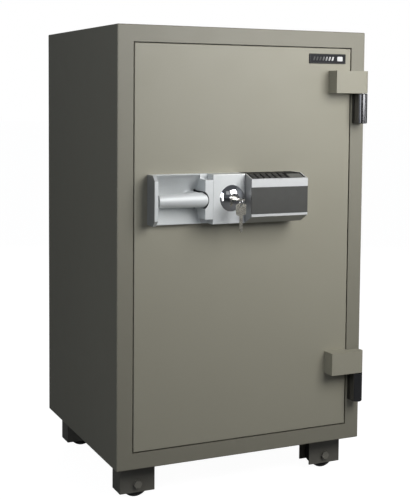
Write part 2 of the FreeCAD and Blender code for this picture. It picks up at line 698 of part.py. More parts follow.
def make_rollers():
    """Four sheet brackets, open on their inner sides, each with a roller on a bolt."""
    brackets, bolts, nuts = [], [], []
    for corner, side, start in CORNERS:
        outer = "half_body - bracket_side"
        end = f"{start} + bracket_depth"
        whole = block(
            f"bracket_{corner}_block", ordered(side, f"{outer} - bracket_width", outer),
            (start, end), ("-bracket_height", "0"),
        )
        inside = block(
            f"bracket_{corner}_inside",
            ordered(side, f"{outer} - 2*bracket_width", f"{outer} - bracket_sheet"),
            (f"{start} + bracket_sheet", f"{end} - bracket_sheet"),
            ("-2*bracket_height", "-bracket_sheet"),
        )
        axle_x = f"{side}*(half_body - axle_side)"
        bore = rod(
            f"bracket_{corner}_bore", "Y", "axle_radius", axle_x,
            (f"{start} - bracket_sheet", f"{end} + bracket_sheet"), "-axle_drop",
        )
        brackets.append(cut(f"bracket_{corner}", whole, inside, bore))
        shank = rod(
            f"axle_{corner}_shank", "Y", "axle_radius", axle_x,
            (start, f"{end} + axle_head + axle_tail"), "-axle_drop",
        )
        head = hexagon(
            f"axle_{corner}_head", "axle_head_radius", axle_x,
            (f"{start} - axle_head", start), "-axle_drop",
        )
        bolts.append(fuse(f"axle_{corner}", shank, head))
        nut = hexagon(
            f"nut_{corner}_block", "axle_head_radius", axle_x, (end, f"{end} + axle_head"),
            "-axle_drop",
        )
        thread = rod(
            f"nut_{corner}_bore", "Y", "axle_radius", axle_x,
            (f"{end} - axle_head", f"{end} + 2*axle_head"), "-axle_drop",
        )
        nuts.append(cut(f"nut_{corner}", nut, thread))
        make_roller(corner, axle_x, f"{start} + bracket_depth/2")
    sub_part("foot_brackets", group("foot_brackets", *brackets))
    sub_part("axle_bolts", group("axle_bolts", *bolts))
    sub_part("axle_nuts", group("axle_nuts", *nuts))


def make_roller(corner, x, y):
    """A moulded roller turned about its axle, with a recess in each face."""
    body = new_body("wheel_" + corner)
    half = "wheel_width/2"
    recess = f"{half} - wheel_recess"
    rim = "wheel_radius - wheel_rim"
    bore = "axle_radius + axle_fit"
    right = [
        (bore, half), ("wheel_hub_radius", half), ("wheel_hub_radius", recess), (rim, recess),
        (rim, half), ("wheel_radius", half),
    ]
    left = [(radius, f"-({along_axle})") for radius, along_axle in reversed(right)]
    sketch = outline(body, f"wheel_{corner}_profile", "XY_Plane", right + left)
    solid = turned(body, f"wheel_{corner}_turn", sketch, "V_Axis")
    tread = edges_where(
        solid.Shape,
        lambda middle, direction: Vector(middle.x, 0, middle.z).Length > value("wheel_radius") - 0.01
        and abs(direction.y) < 0.5,
    )
    softened(body, f"wheel_{corner}_edges", "Fillet", solid, tread, "wheel_edge")
    sub_part("wheel_" + corner, body, x=x, y=y, z="-axle_drop")


# ---------------------------------------------------------------- hinges

HINGES = (("lower", "hinge_low"), ("upper", "hinge_high"))


def make_hinges():
    """A knuckle on the frame and a block on the door at each level, joined by a pin."""
    knuckles, pins, blocks = [], [], []
    for level, bottom in HINGES:
        knuckles.append(make_knuckle(level, bottom))
        top = f"{bottom} + knuckle_height"
        pins.append(rod(
            f"pin_{level}", "Z", "pin_radius", "hinge_x", "-hinge_reach",
            (f"{top} - pin_seat", f"{top} + hinge_gap + pin_depth"),
        ))
        blocks.append(make_hinge_block(level, f"{top} + hinge_gap"))
    sub_part("hinge_knuckles", group("hinge_knuckles", *knuckles))
    sub_part("hinge_pins", group("hinge_pins", *pins))
    sub_part("hinge_blocks", group("hinge_blocks", *blocks))


def make_knuckle(level, bottom):
    """A round knuckle with chamfered ends and a foot that runs back to the frame."""
    top = f"{bottom} + knuckle_height"
    round_bar = doc.addObject("Part::Cylinder", f"knuckle_{level}_bar")
    bind(round_bar, Radius="knuckle_radius", Height="knuckle_height")
    bind(round_bar, x="hinge_x", y="-hinge_reach", z=bottom)
    lower = cone(f"knuckle_{level}_low", bottom, 1)
    upper = cone(f"knuckle_{level}_top", top, -1)
    foot = block(
        f"knuckle_{level}_foot", ("hinge_x - knuckle_foot_half", "hinge_x + knuckle_foot_half"),
        ("-hinge_reach", "0"), (bottom, top),
    )
    bore = rod(
        f"knuckle_{level}_bore", "Z", "pin_radius", "hinge_x", "-hinge_reach",
        (f"{top} - pin_seat", f"{top} + knuckle_radius"),
    )
    bar = common(f"knuckle_{level}_round", common(f"knuckle_{level}_half", round_bar, lower), upper)
    return cut(f"knuckle_{level}", fuse(f"knuckle_{level}_solid", bar, foot), bore)


def cone(name, start, direction):
    """A cone that leaves a chamfer on a knuckle's end and is clear of the rest of it."""
    solid = doc.addObject("Part::Cone", name)
    solid.Placement = FreeCAD.Placement(Vector(), Rotation(Vector(1, 0, 0), 0 if direction > 0 else 180))
    bind(solid, Radius1="knuckle_radius - knuckle_chamfer")
    bind(solid, Radius2="knuckle_radius - knuckle_chamfer + 2*knuckle_height", Height="2*knuckle_height")
    return bind(solid, x="hinge_x", y="-hinge_reach", z=start)


def make_hinge_block(level, bottom):
    """A block on the door's face whose rounded end turns about the hinge axis."""
    top = f"{bottom} + hinge_block_height"
    bar = block(
        f"hinge_{level}_bar", ("hinge_block_left", "hinge_x"),
        ("-hinge_reach - hinge_block_radius", "-hinge_reach + hinge_block_radius"), (bottom, top),
    )
    foot = block(
        f"hinge_{level}_foot", ("hinge_block_left", "hinge_block_foot"),
        ("-hinge_reach - hinge_block_radius", "0"), (bottom, top),
    )
    end = rod(
        f"hinge_{level}_end", "Z", "hinge_block_radius", "hinge_x", "-hinge_reach", (bottom, top),
    )
    bore = rod(
        f"hinge_{level}_bore", "Z", "pin_radius + pin_fit", "hinge_x", "-hinge_reach",
        (f"{bottom} - hinge_gap", f"{bottom} + pin_depth + hinge_gap"),
    )
    return cut(f"hinge_{level}", fuse(f"hinge_{level}_solid", bar, foot, end), bore)


# ---------------------------------------------------------------- door


def through_hole(name, radius, x, z, start="-console_reach", end="plug_depth"):
    return rod(name, "Y", radius, x, (start, end), z)


def cup_box(name, extra, back):
    """The space of the sunk hand scoop, grown by a clearance."""
    return block(
        name, (f"-console_left + cheek_width - cup_wall - ({extra})",
               f"-scoop_right + cup_wall + ({extra})"),
        ("-shell_wall", back),
        (f"console_bottom + cup_wall - ({extra})", f"console_top - cup_wall + ({extra})"),
    )


def front_edge(middle, direction):
    """Edges of the front face of a padded plate."""
    return abs(middle.y) < 1e-6


def make_door_shell():
    """The door's front pan: a plate with turned-back edges, pierced for the lock and handle."""
    plate = rounded_box(
        "door_skin", ("-half_door", "half_door"), ("0", "door_plate"), ("door_low", "door_high"),
        lambda middle, direction: front_edge(middle, direction) or abs(direction.y) > 0.999,
        "door_edge",
    )
    inside = block(
        "door_inside", ("-half_door + shell_wall", "half_door - shell_wall"),
        ("shell_wall", "2*door_plate"), ("door_low + shell_wall", "door_high - shell_wall"),
    )
    cup = cup_box("door_cup_hole", "cup_gap", "2*shell_wall")
    lock = through_hole("door_lock_hole", "cylinder_radius", "-lock_x", "lock_z")
    sub_part("door_shell", cut("door_shell", plate, inside, cup, lock))


def make_door_fill():
    """Fire-resistant filling of the door, stepped like the pan behind it."""
    front = block(
        "door_fill_front", ("-half_door + shell_wall", "half_door - shell_wall"),
        ("shell_wall", "door_plate - shell_wall"), ("door_low + shell_wall", "door_high - shell_wall"),
    )
    back = block(
        "door_fill_back", ("-half_plug + shell_wall", "half_plug - shell_wall"),
        ("shell_wall", "pan_depth - shell_wall"), ("plug_low + shell_wall", "plug_high - shell_wall"),
    )
    tools = [
        cup_box("door_fill_cup", "cup_gap", "scoop_depth + cup_wall + cup_gap"),
        through_hole("door_fill_lock", "cylinder_radius + fill_clear", "-lock_x", "lock_z"),
        through_hole("door_fill_spindle", "spindle_radius + fill_clear", "-handle_x", "handle_z"),
    ]
    tools += fixed_bolt_rods("door_fill_bolt", "0")
    sub_part("door_fill", cut("door_fill", fuse("door_fill_solid", front, back), *tools))


def make_door_inner_pan():
    """Hat-shaped pan that closes the filling and carries the bolt work on its back."""
    flange = block(
        "pan_flange", ("-half_door + shell_wall", "half_door - shell_wall"),
        ("door_plate - shell_wall", "door_plate"), ("door_low + shell_wall", "door_high - shell_wall"),
    )
    hat = block(
        "pan_hat", ("-half_plug", "half_plug"), ("door_plate - shell_wall", "pan_depth"),
        ("plug_low", "plug_high"),
    )
    inside = block(
        "pan_inside", ("-half_plug + shell_wall", "half_plug - shell_wall"),
        ("0", "pan_depth - shell_wall"), ("plug_low + shell_wall", "plug_high - shell_wall"),
    )
    tools = [
        inside,
        through_hole("pan_lock", "cylinder_radius", "-lock_x", "lock_z"),
        through_hole("pan_spindle", "spindle_radius + spindle_fit", "-handle_x", "handle_z"),
    ]
    tools += fixed_bolt_rods("pan_bolt", "0")
    sub_part("door_inner_pan", cut("door_inner_pan", fuse("pan_solid", flange, hat), *tools))


def make_door_seal():
    """A flat heat seal strip on the pan's flange, facing the frame's step."""
    inner, low, high = "half_throat - seal_lap", "throat_low + seal_lap", "throat_high - seal_lap"
    whole = block(
        "seal_whole", (f"-({inner}) - seal_width", f"{inner} + seal_width"),
        ("door_plate", "door_plate + seal_thickness"), (f"{low} - seal_width", f"{high} + seal_width"),
    )
    middle = block("seal_middle", (f"-({inner})", inner), ("0", "plug_depth"), (low, high))
    sub_part("door_seal", cut("door_seal", whole, middle))


def make_door_inner_cover():
    """A shallow sheet cover over the bolt work, pierced for the bolts and screws."""
    whole = block(
        "cover_whole", ("-half_plug", "half_plug"), ("pan_depth", "plug_depth"), ("plug_low", "plug_high"),
    )
    inside = block(
        "cover_inside", ("-half_plug + cover_wall", "half_plug - cover_wall"),
        ("0", "plug_depth - cover_wall"), ("plug_low + cover_wall", "plug_high - cover_wall"),
    )
    holes = [
        rod(f"cover_{height}", "X", "bolt_radius + notch_clear",
            ("-half_plug - cover_wall", "-half_plug + 2*cover_wall"), "bolt_plane", height)
        for height in BOLT_HEIGHTS
    ]
    holes += screw_rods("cover_screw", "screw_radius")
    sub_part("door_inner_cover", cut("door_inner_cover", whole, inside, *holes))


def screw_places():
    """Two upright rows of four screws, clear of the bolts."""
    levels = ("plug_low + screw_end", "(bolt_low + bolt_mid)/2", "(bolt_mid + bolt_high)/2",
              "plug_high - screw_end")
    for side in (-1, 1):
        for number, level in enumerate(levels, start=1):
            yield f"{'left' if side < 0 else 'right'}_{number}", f"{side}*(half_plug - screw_side)", level


def screw_rods(name, radius):
    return [
        rod(f"{name}_{place}", "Y", radius, x, ("pan_depth", "plug_depth"), level)
        for place, x, level in screw_places()
    ]


def make_cover_screws():
    """Long pan-head screws from the cover's back to the pan."""
    screws = []
    for place, x, level in screw_places():
        shank = rod(f"screw_{place}_shank", "Y", "screw_radius", x, ("pan_depth", "plug_depth"), level)
        head = rod(
            f"screw_{place}_head", "Y", "screw_head_radius", x,
            ("plug_depth", "plug_depth + screw_head"), level,
        )
        screws.append(fuse(f"screw_{place}", shank, head))
    sub_part("cover_screws", group("cover_screws", *screws))


def fixed_bolt_rods(name, nose):
    return [
        rod(f"{name}_{height}", "X", "fixed_bolt_radius",
            ("half_plug - fixed_bolt_in", f"half_plug + fixed_bolt_out - ({nose})"),
            "fixed_bolt_plane", height)
        for height in BOLT_HEIGHTS
    ]


def bolt_solid(name, radius, length, x, y, z, direction):
    """A round bolt turned about its own axis, with a chamfered nose towards the direction."""
    body = new_body(name)
    corners = [
        ("0", "0"), (radius, "0"), (radius, f"{length} - bolt_nose"),
        (f"{radius} - bolt_nose", length), ("0", length),
    ]
    sketch = outline(body, name + "_profile", "XY_Plane", corners)
    turned(body, name + "_turn", sketch, "V_Axis")
    body.Placement = FreeCAD.Placement(Vector(), Rotation(Vector(0, 0, 1), -90 if direction > 0 else 90))
    bind(body, x=x, y=y, z=z)
    return body


def make_fixed_bolts():
    """Three bolts that never move, on the hinge side."""
    bolts = [
        bolt_solid(f"fixed_{height}", "fixed_bolt_radius", "(fixed_bolt_in + fixed_bolt_out)",
                   "half_plug - fixed_bolt_in", "fixed_bolt_plane", height, 1)
        for height in BOLT_HEIGHTS
    ]
    sub_part("fixed_bolts", group("fixed_bolts", *bolts))


def make_badge():
    """A blank badge plate."""
    body = rounded_box(
        "badge_plate", ("badge_left", "badge_left + badge_width"), ("-badge_thickness", "0"),
        ("body_height - badge_drop - badge_height", "body_height - badge_drop"),
        lambda middle, direction: abs(direction.y) > 0.999, "badge_thickness",
    )
    sub_part("badge_plate", body)


# ---------------------------------------------------------------- bolt work


def make_bolt_bar():
    """Upright bar with an arm: a slot for the crank pin, and notches for the cam and the plunger.

    Each has two notches, a bolt throw apart, so it can enter with the bolts in or out. The cam
    sweeps in from the right, and the straight left side of its notch holds the bar from going back.
    """
    depth = ("bar_front", "bar_front + bar_thickness")
    upright = block(
        "bar_upright", ("bar_left", "-bar_right"), depth, ("bolt_low - bar_over", "bolt_high + bar_over"),
    )
    root = block("bar_root", ("-bar_right", "-block_left"), depth, ("arm_low", "arm_top"))
    arm = block("bar_arm", ("-block_left", "-arm_right"), depth, ("arm_step", "arm_top"))
    through = ("bar_front - bar_thickness", "bar_front + 2*bar_thickness")
    slot = block(
        "bar_slot", ("crank_pin_x - crank_pin_room", "crank_pin_x + crank_pin_room"), through,
        ("crank_pin_z - crank_pin_room", "handle_z + crank_pin_circle + crank_pin_room"),
    )
    notches = []
    for number in (0, 1):
        axis = f"-lock_x + {number}*throw"
        swept = rod(f"bar_cam_sweep_{number}", "Y", "cam_reach + notch_clear", axis, through, "lock_z")
        side = block(
            f"bar_cam_side_{number}", (f"{axis} - cam_half_width - notch_clear", f"{axis} + 2*cam_reach"),
            through, ("arm_step - notch_gap", "arm_top"),
        )
        notches.append(common(f"bar_cam_notch_{number}", swept, side))
        plunger = f"-plunger_x + {number}*throw"
        notches.append(block(
            f"bar_top_notch_{number}",
            (f"{plunger} - plunger_radius - notch_clear", f"{plunger} + plunger_radius + notch_clear"),
            through, ("arm_top + notch_gap - plunger_travel - notch_clear", "arm_top + notch_gap"),
        ))
    sub_part("bolt_bar", cut("bolt_bar", fuse("bar_solid", upright, root, arm), slot, *notches))


def make_locking_bolts():
    """Three round bolts, forked over the bar."""
    bolts = []
    for height in BOLT_HEIGHTS:
        solid = bolt_solid(
            f"locking_{height}_bar", "bolt_radius", "(-bar_right - bolt_tip)", "-bar_right", "bolt_plane",
            height, -1,
        )
        fork = block(
            f"locking_{height}_fork", ("bar_left", "-bar_right + bar_width"),
            ("bar_front", "bar_front + bar_thickness"),
            (f"{height} - 2*bolt_radius", f"{height} + 2*bolt_radius"),
        )
        bolts.append(cut(f"locking_{height}", solid, fork))
    sub_part("locking_bolts", group("locking_bolts", *bolts))


def make_bolt_guides():
    """A bored block on the pan round each locking bolt."""
    guides = []
    left = "-half_plug + guide_inset"
    for height in BOLT_HEIGHTS:
        solid = block(
            f"guide_{height}_block", (left, f"{left} + guide_length"),
            ("pan_depth", "bolt_plane + guide_half"), (f"{height} - guide_half", f"{height} + guide_half"),
        )
        bore = rod(
            f"guide_{height}_bore", "X", "bolt_radius + bolt_fit",
            (f"{left} - guide_length", f"{left} + 2*guide_length"), "bolt_plane", height,
        )
        guides.append(cut(f"guide_{height}", solid, bore))
    sub_part("bolt_guides", group("bolt_guides", *guides))


def make_solenoid():
    """A coil block above the bar's arm with a plunger that drops into it."""
    plane = "bar_front + bar_thickness/2"
    rest_tip = "arm_top + notch_gap"
    top = "solenoid_bottom + solenoid_height"
    coil = block(
        "coil_block", ("-plunger_x - solenoid_half_width", "-plunger_x + solenoid_half_width"),
        ("pan_depth", f"{plane} + plunger_radius + bar_thickness"), ("solenoid_bottom", top),
    )
    bore = rod(
        "coil_bore", "Z", "plunger_radius + plunger_fit", "-plunger_x", plane,
        ("solenoid_bottom - notch_gap", f"{rest_tip} + plunger_length + notch_gap"),
    )
    sub_part("solenoid", cut("solenoid", coil, bore))
    plunger = rod(
        "plunger", "Z", "plunger_radius", "-plunger_x", plane, (rest_tip, f"{rest_tip} + plunger_length"),
    )
    sub_part("solenoid_plunger", plunger, x="-plunger_x", y=plane, z=rest_tip)


# ---------------------------------------------------------------- handle


def make_handle_housing():
    """Cast housing: a cheek, a hand scoop sunk into the door, a notched tongue and the lock block."""
    height = ("console_bottom", "console_top")
    cheek = new_body("cheek")
    reach, low, high = "-console_reach", "console_bottom", "console_top"
    corners = [
        ("0", low), (f"{reach} + cheek_chamfer", low), (reach, f"{low} + cheek_chamfer"),
        (reach, f"{high} - cheek_chamfer"), (f"{reach} + cheek_chamfer", high), ("0", high),
    ]
    profile = outline(cheek, "cheek_profile", "YZ_Plane", corners, "-console_left")
    pad(cheek, "cheek_pad", profile, "cheek_width")
    rim = block("housing_rim", ("-console_left", "-console_split"), ("-rim_reach", "0"), height)
    lock_block = rounded_box(
        "lock_block", ("-block_left", "-console_split"), ("-console_reach", "0"), height,
        lambda middle, direction: middle.y < -value("console_reach") + 0.01, "console_edge",
    )
    tongue = block(
        "housing_tongue", ("-scoop_right", "-block_left"), ("-console_reach", "-tongue_back"),
        ("console_bottom + tongue_inset", "console_top - tongue_inset"),
    )
    cup = cup_box("housing_cup", "0", "scoop_depth + cup_wall")
    solid = fuse("housing_solid", cheek, rim, lock_block, tongue, cup)
    scoop = rod(
        "housing_scoop", "X", "scoop_radius", ("-console_left + cheek_width", "-scoop_right"),
        "scoop_depth - scoop_radius", "console_mid",
    )
    notch = rod(
        "housing_notch", "Y", "lever_end + handle_turn_clear", "-handle_x",
        ("-2*console_reach", "scoop_depth - boss_gap/2"), "handle_z",
    )
    hollow = block(
        "housing_hollow", ("-block_left + console_wall", "-console_split - console_wall"),
        ("-console_reach + console_wall", "console_reach"),
        ("console_bottom + console_wall", "console_top - console_wall"),
    )
    lock = through_hole("housing_lock", "cylinder_radius", "-lock_x", "lock_z", "-2*console_reach")
    spindle = through_hole("housing_spindle", "spindle_radius + spindle_fit", "-handle_x", "handle_z")
    sub_part("handle_housing", cut("handle_housing", solid, scoop, notch, hollow, lock, spindle))


def ellipse(name, tall, deep, x):
    """An upright ellipse across the lever."""
    curve = doc.addObject("Part::Ellipse", name)
    curve.Placement = FreeCAD.Placement(Vector(), Rotation(Vector(0, 1, 0), 90))
    return bind(curve, MajorRadius=tall, MinorRadius=deep, x=x, y="-lever_reach", z="handle_z")


def make_handle_lever():
    """A tapered oval bar, round-ended about the handle axis, with a boss behind."""
    sections = [
        ellipse("lever_tip_section", "lever_tip_half_height", "lever_tip_half_depth", "-lever_tip"),
        ellipse("lever_hub_section", "lever_hub_half_height", "lever_hub_half_depth",
                "-handle_x + lever_end"),
    ]
    bar = doc.addObject("Part::Loft", "lever_bar")
    bar.Sections = sections
    bar.Solid = True
    bar.Ruled = True
    limit_end = rod(
        "lever_limit_end", "Y", "lever_end", "-handle_x", ("-2*lever_reach", "0"), "handle_z",
    )
    limit_bar = block(
        "lever_limit_bar", ("-lever_tip", "-handle_x"), ("-2*lever_reach", "0"),
        ("handle_z - lever_end", "handle_z + lever_end"),
    )
    shaped = common("lever_shaped", bar, fuse("lever_limit", limit_end, limit_bar))
    boss = rod(
        "lever_boss", "Y", "boss_radius", "-handle_x",
        ("-lever_reach", "scoop_depth - boss_gap"), "handle_z",
    )
    seat = rod(
        "lever_seat", "Y", "spindle_radius", "-handle_x", ("-spindle_seat", "2*scoop_depth"), "handle_z",
    )
    whole = fuse("lever_whole", shaped, boss)
    sub_part("handle_lever", cut("handle_lever", whole, seat))


def make_spindle_and_crank():
    """The handle's spindle through the door, and the crank disc on its inner end."""
    back = "crank_start + crank_thickness"
    spindle = rod("spindle", "Y", "spindle_radius", "-handle_x", ("-spindle_seat", back), "handle_z")
    sub_part("handle_spindle", spindle, x="-handle_x", y="-spindle_seat", z="handle_z")
    disc = rod("crank_disc", "Y", "crank_radius", "-handle_x", ("crank_start", back), "handle_z")
    pin = rod(
        "crank_pin", "Y", "crank_pin_radius", "crank_pin_x",
        (back, "bar_front + bar_thickness + crank_pin_radius"), "crank_pin_z",
    )
    bore = rod("crank_bore", "Y", "spindle_radius", "-handle_x", ("0", back), "handle_z")
    sub_part("handle_crank", cut("handle_crank", fuse("crank_solid", disc, pin), bore))


# ---------------------------------------------------------------- key lock


def make_lock_rose():
    """A domed rose, a cap of a sphere, round the lock cylinder."""
    radius = "(rose_radius^2 + rose_height^2)/(2*rose_height)"
    dome = ball("rose_ball", radius, "-lock_x", f"-rose_front + {radius}", "lock_z")
    slab = rod(
        "rose_slab", "Y", "rose_radius", "-lock_x", ("-2*rose_front", "-console_reach"), "lock_z",
    )
    hole = through_hole("rose_hole", "cylinder_radius", "-lock_x", "lock_z", "-2*rose_front")
    sub_part("lock_rose", cut("lock_rose", common("rose_cap", dome, slab), hole))


def make_lock_cylinder():
    """A plain tube through the door, with the plug inside it."""
    face = "-rose_front + cylinder_front_inset"
    tube = rod("cylinder_tube", "Y", "cylinder_radius", "-lock_x", (face, "cylinder_back"), "lock_z")
    bore = rod(
        "cylinder_bore", "Y", "plug_radius + plug_fit", "-lock_x", ("-2*rose_front", "plug_depth"), "lock_z",
    )
    sub_part("lock_cylinder", cut("lock_cylinder", tube, bore))


def make_lock_plug():
    """The turning plug with its keyway, and its tail."""
    face = "-rose_front + cylinder_front_inset"
    core = rod("plug_core", "Y", "plug_radius", "-lock_x", (face, "cam_front"), "lock_z")
    tail = rod("plug_tail", "Y", "tail_radius", "-lock_x", (face, "cam_back"), "lock_z")
    keyway = block(
        "plug_keyway", ("-lock_x - keyway_half_width", "-lock_x + keyway_half_width"),
        ("-2*rose_front", f"{face} + keyway_depth"),
        ("lock_z - keyway_half_height", "lock_z + keyway_half_height"),
    )
    sub_part("lock_plug", cut("lock_plug", fuse("plug_solid", core, tail), keyway))


def make_lock_cam():
    """A boss on the plug's tail with an arm that the key swings up into the bar's notch."""
    boss = rod("cam_boss", "Y", "cam_radius", "-lock_x", ("cam_front", "cam_back"), "lock_z")
    depth = ("bar_front", "cam_back")
    bar = block(
        "cam_bar", ("-lock_x", "-lock_x + cam_reach"), depth,
        ("lock_z - cam_half_width", "lock_z + cam_half_width"),
    )
    swept = rod("cam_sweep", "Y", "cam_reach", "-lock_x", depth, "lock_z")
    bore = through_hole("cam_bore", "tail_radius", "-lock_x", "lock_z", "0")
    sub_part("lock_cam", cut("lock_cam", fuse("cam_solid", boss, common("cam_arm", bar, swept)), bore))


def make_lock_case():
    """A sheet case on the pan round the cam, open at the top where the cam meets the bar."""
    left = "-lock_x - cylinder_radius - case_gap"
    right = "-lock_x + cam_reach + case_gap"
    low = "lock_z - cylinder_radius - case_gap"
    back = "cam_back + case_gap"
    outside = block(
        "case_outside", (f"{left} - case_wall", f"{right} + case_wall"),
        ("pan_depth", f"{back} + case_wall"), (f"{low} - case_wall", "arm_step - notch_gap"),
    )
    inside = block("case_inside", (left, right), ("0", back), (low, "arm_top"))
    sub_part("lock_case", cut("lock_case", outside, inside))


def key_solid(name):
    """A flat key: bow upwards from its neck, hole near the bow's end, blade downwards.

    It is drawn upright in its own frame, with the origin on the line between bow and blade.
    """
    body = new_body(name + "_blank")
    half_blade, half_bow = "key_blade_width/2", "bow_width/2"
    tip = "key_blade_length + key_neck"
    corners = [
        ("0", f"-({tip})"), (half_blade, f"-({tip}) + {half_blade}"), (half_blade, "0"), (half_bow, "0"),
        (half_bow, "bow_length"), (f"-({half_bow})", "bow_length"), (f"-({half_bow})", "0"),
        (f"-({half_blade})", "0"), (f"-({half_blade})", f"-({tip}) + {half_blade}"),
    ]
    sketch = outline(body, name + "_profile", "XZ_Plane", corners, "-key_thickness/2")
    solid = pad(body, name + "_pad", sketch, "key_thickness")
    length = value("bow_length")
    corners_round = edges_where(
        solid.Shape,
        lambda middle, direction: abs(direction.y) > 0.999 and (
            middle.z > length - 0.01 or abs(abs(middle.x) - value("bow_width") / 2) < 0.01),
    )
    solid = softened(body, name + "_corners", "Fillet", solid, corners_round, "bow_corner")
    hole = rod(
        name + "_hole", "Y", "bow_hole_radius", "0", ("-key_thickness", "key_thickness"),
        "bow_length - bow_hole_inset",
    )
    return cut(name, body, hole)


def make_keys():
    """The key in the lock, lying flat, and a like key hanging from it on a ring."""
    key = key_solid("key")
    key.Placement = FreeCAD.Placement(Vector(), Rotation(Vector(1, 0, 0), 90))
    sub_part("key", key, x="-lock_x", y="-key_start", z="lock_z")
    ring = doc.addObject("Part::Torus", "ring")
    ring.Placement = FreeCAD.Placement(Vector(), Rotation(Vector(0, 1, 0), 90))
    bind(ring, Radius1="ring_radius", Radius2="ring_wire")
    sub_part("key_ring", ring, x="-lock_x", y="-spare_reach", z="lock_z - ring_drop")
    hang = "lock_z - ring_drop - ring_radius"
    spare = key_solid("spare_key")
    sub_part(
        "spare_key", spare, x="-lock_x", y="-spare_reach",
        z=f"{hang} + ring_wire + ring_clear - bow_hole_radius - (bow_length - bow_hole_inset)",
    )


# ---------------------------------------------------------------- keypad


def make_keypad_housing():
    """A moulded shell: two ends, a front and an underside, with a box for the cells."""
    body = new_body("keypad_shell")
    low, high = "console_bottom", "console_top"
    corners = [
        ("0", low), ("-console_reach", low), ("-keypad_reach", f"{low} + keypad_bottom_rise"),
        ("-keypad_reach", f"{high} - keypad_top_drop"), ("-console_reach", high), ("0", high),
    ]
    sketch = outline(body, "keypad_shell_profile", "YZ_Plane", corners, "-console_split")
    solid = pad(body, "keypad_shell_pad", sketch, "console_right + console_split")
    open_faces = faces_where(
        solid.Shape,
        lambda centre, normal: abs(centre.y) < 0.01 or normal.z > 0.5,
    )
    shell = body.newObject("PartDesign::Thickness", "keypad_shell_wall")
    shell.Base = (solid, open_faces)
    shell.Reversed = True
    shell.Join = "Intersection"
    bind(shell, Value="keypad_wall")
    doc.recompute()
    recess = block(
        "keypad_recess", ("-2*console_split", "2*console_right"),
        ("-2*keypad_reach", "-keypad_reach + panel_thickness"), ("panel_low", "panel_high"),
    )
    box_x = ("-battery_box_left", "-battery_box_left + box_length")
    box_z = ("panel_mid - box_half", "panel_mid + box_half")
    box_back = "battery_y + battery_radius + battery_clear"
    wall = "battery_box_wall"
    box = block(
        "battery_box", (f"{box_x[0]} - {wall}", f"{box_x[1]} + {wall}"),
        ("-keypad_reach + keypad_wall", f"{box_back} + {wall}"),
        (f"{box_z[0]} - {wall}", f"{box_z[1]} + {wall}"),
    )
    inside = block("battery_space", box_x, ("-2*keypad_reach", box_back), box_z)
    sub_part("keypad_housing", cut("keypad_housing", fuse("keypad_solid", body, box), recess, inside))


def make_battery_cover():
    """A flush panel that slides off the front of the keypad to the right."""
    panel = rounded_box(
        "battery_cover", ("-console_split", "console_right"),
        ("-keypad_reach", "-keypad_reach + panel_thickness - panel_gap"),
        ("panel_low + panel_gap", "panel_high - panel_gap"),
        lambda middle, direction: abs(direction.x) > 0.999 and middle.y < -value("keypad_reach") + 0.01,
        "panel_gap",
    )
    sub_part("battery_cover", panel)


def make_batteries():
    """Four cells, two by two, with their end caps."""
    cells = []
    for column in (0, 1):
        start = f"-battery_box_left + battery_clear + {column}*(battery_length + battery_clear)"
        for row, side in (("low", "-"), ("high", "+")):
            cells.append(rod(
                f"cell_{row}_{column}", "X", "battery_radius", (start, f"{start} + battery_length"),
                "battery_y", f"panel_mid {side} cell_rise",
            ))
    sub_part("batteries", group("batteries", *cells))


def tilted(thing):
    """Turn a piece drawn flat so that it lies along the keypad's slope."""
    thing.Placement = FreeCAD.Placement(Vector(), Rotation(Vector(1, 0, 0), measure("slope_angle")))
    thing.setExpression(".Placement.Rotation.Angle", formula("slope_angle"))
    return thing


def slope_block(name, x, across, height):
    """A box drawn along the slope: x, then up the slope, then out of it."""
    solid = tilted(doc.addObject("Part::Box", name))
    bind(solid, Length=f"({x[1]}) - ({x[0]})", Width=f"({across[1]}) - ({across[0]})")
    bind(solid, Height=f"({height[1]}) - ({height[0]})", x=x[0])
    bind(solid, y=f"slope_y + ({across[0]})*cos(slope_angle) - ({height[0]})*sin(slope_angle)")
    bind(solid, z=f"slope_z + ({across[0]})*sin(slope_angle) + ({height[0]})*cos(slope_angle)")
    return solid


def button_places():
    for row in range(int(value("button_rows"))):
        for column in range(int(value("button_columns"))):
            number = row * int(value("button_columns")) + column + 1
            x = f"-button_left + {column}*button_pitch"
            across = f"button_row_pitch/2 - {row}*button_row_pitch"
            yield number, x, across


def display_span():
    right = "face_right - display_inset"
    return (f"{right} - display_width", right), ("-display_height/2", "display_height/2")


def make_keypad_face():
    """The keypad's black top: a bent plate with holes for the buttons and the display."""
    body = new_body("face_plate")
    inner = "keypad_wall*tan(slope_angle/2)"
    front = "-keypad_reach + keypad_wall"
    under = "console_top - keypad_wall"
    run = f"(keypad_reach - keypad_wall - console_reach + {inner})"
    corners = [
        ("0", under), (f"-console_reach + {inner}", under), (front, f"{under} - {run}*tan(slope_angle)"),
        (front, "console_top - (slope_run - keypad_wall)*tan(slope_angle)"),
        ("-console_reach", "console_top"), ("0", "console_top"),
    ]
    sketch = outline(body, "face_plate_profile", "YZ_Plane", corners, "face_left")
    pad(body, "face_plate_pad", sketch, "face_right - face_left")
    deep = ("-2*keypad_wall", "keypad_wall")
    holes = []
    half = "button_size/2 + button_clear"
    for number, x, across in button_places():
        holes.append(slope_block(
            f"face_hole_{number}", (f"{x} - ({half})", f"{x} + {half}"),
            (f"{across} - ({half})", f"{across} + {half}"), deep,
        ))
    across_x, across_y = display_span()
    holes.append(slope_block("face_window", across_x, across_y, ("-display_thickness", "keypad_wall")))
    sub_part("keypad_face", cut("keypad_face", body, *holes))


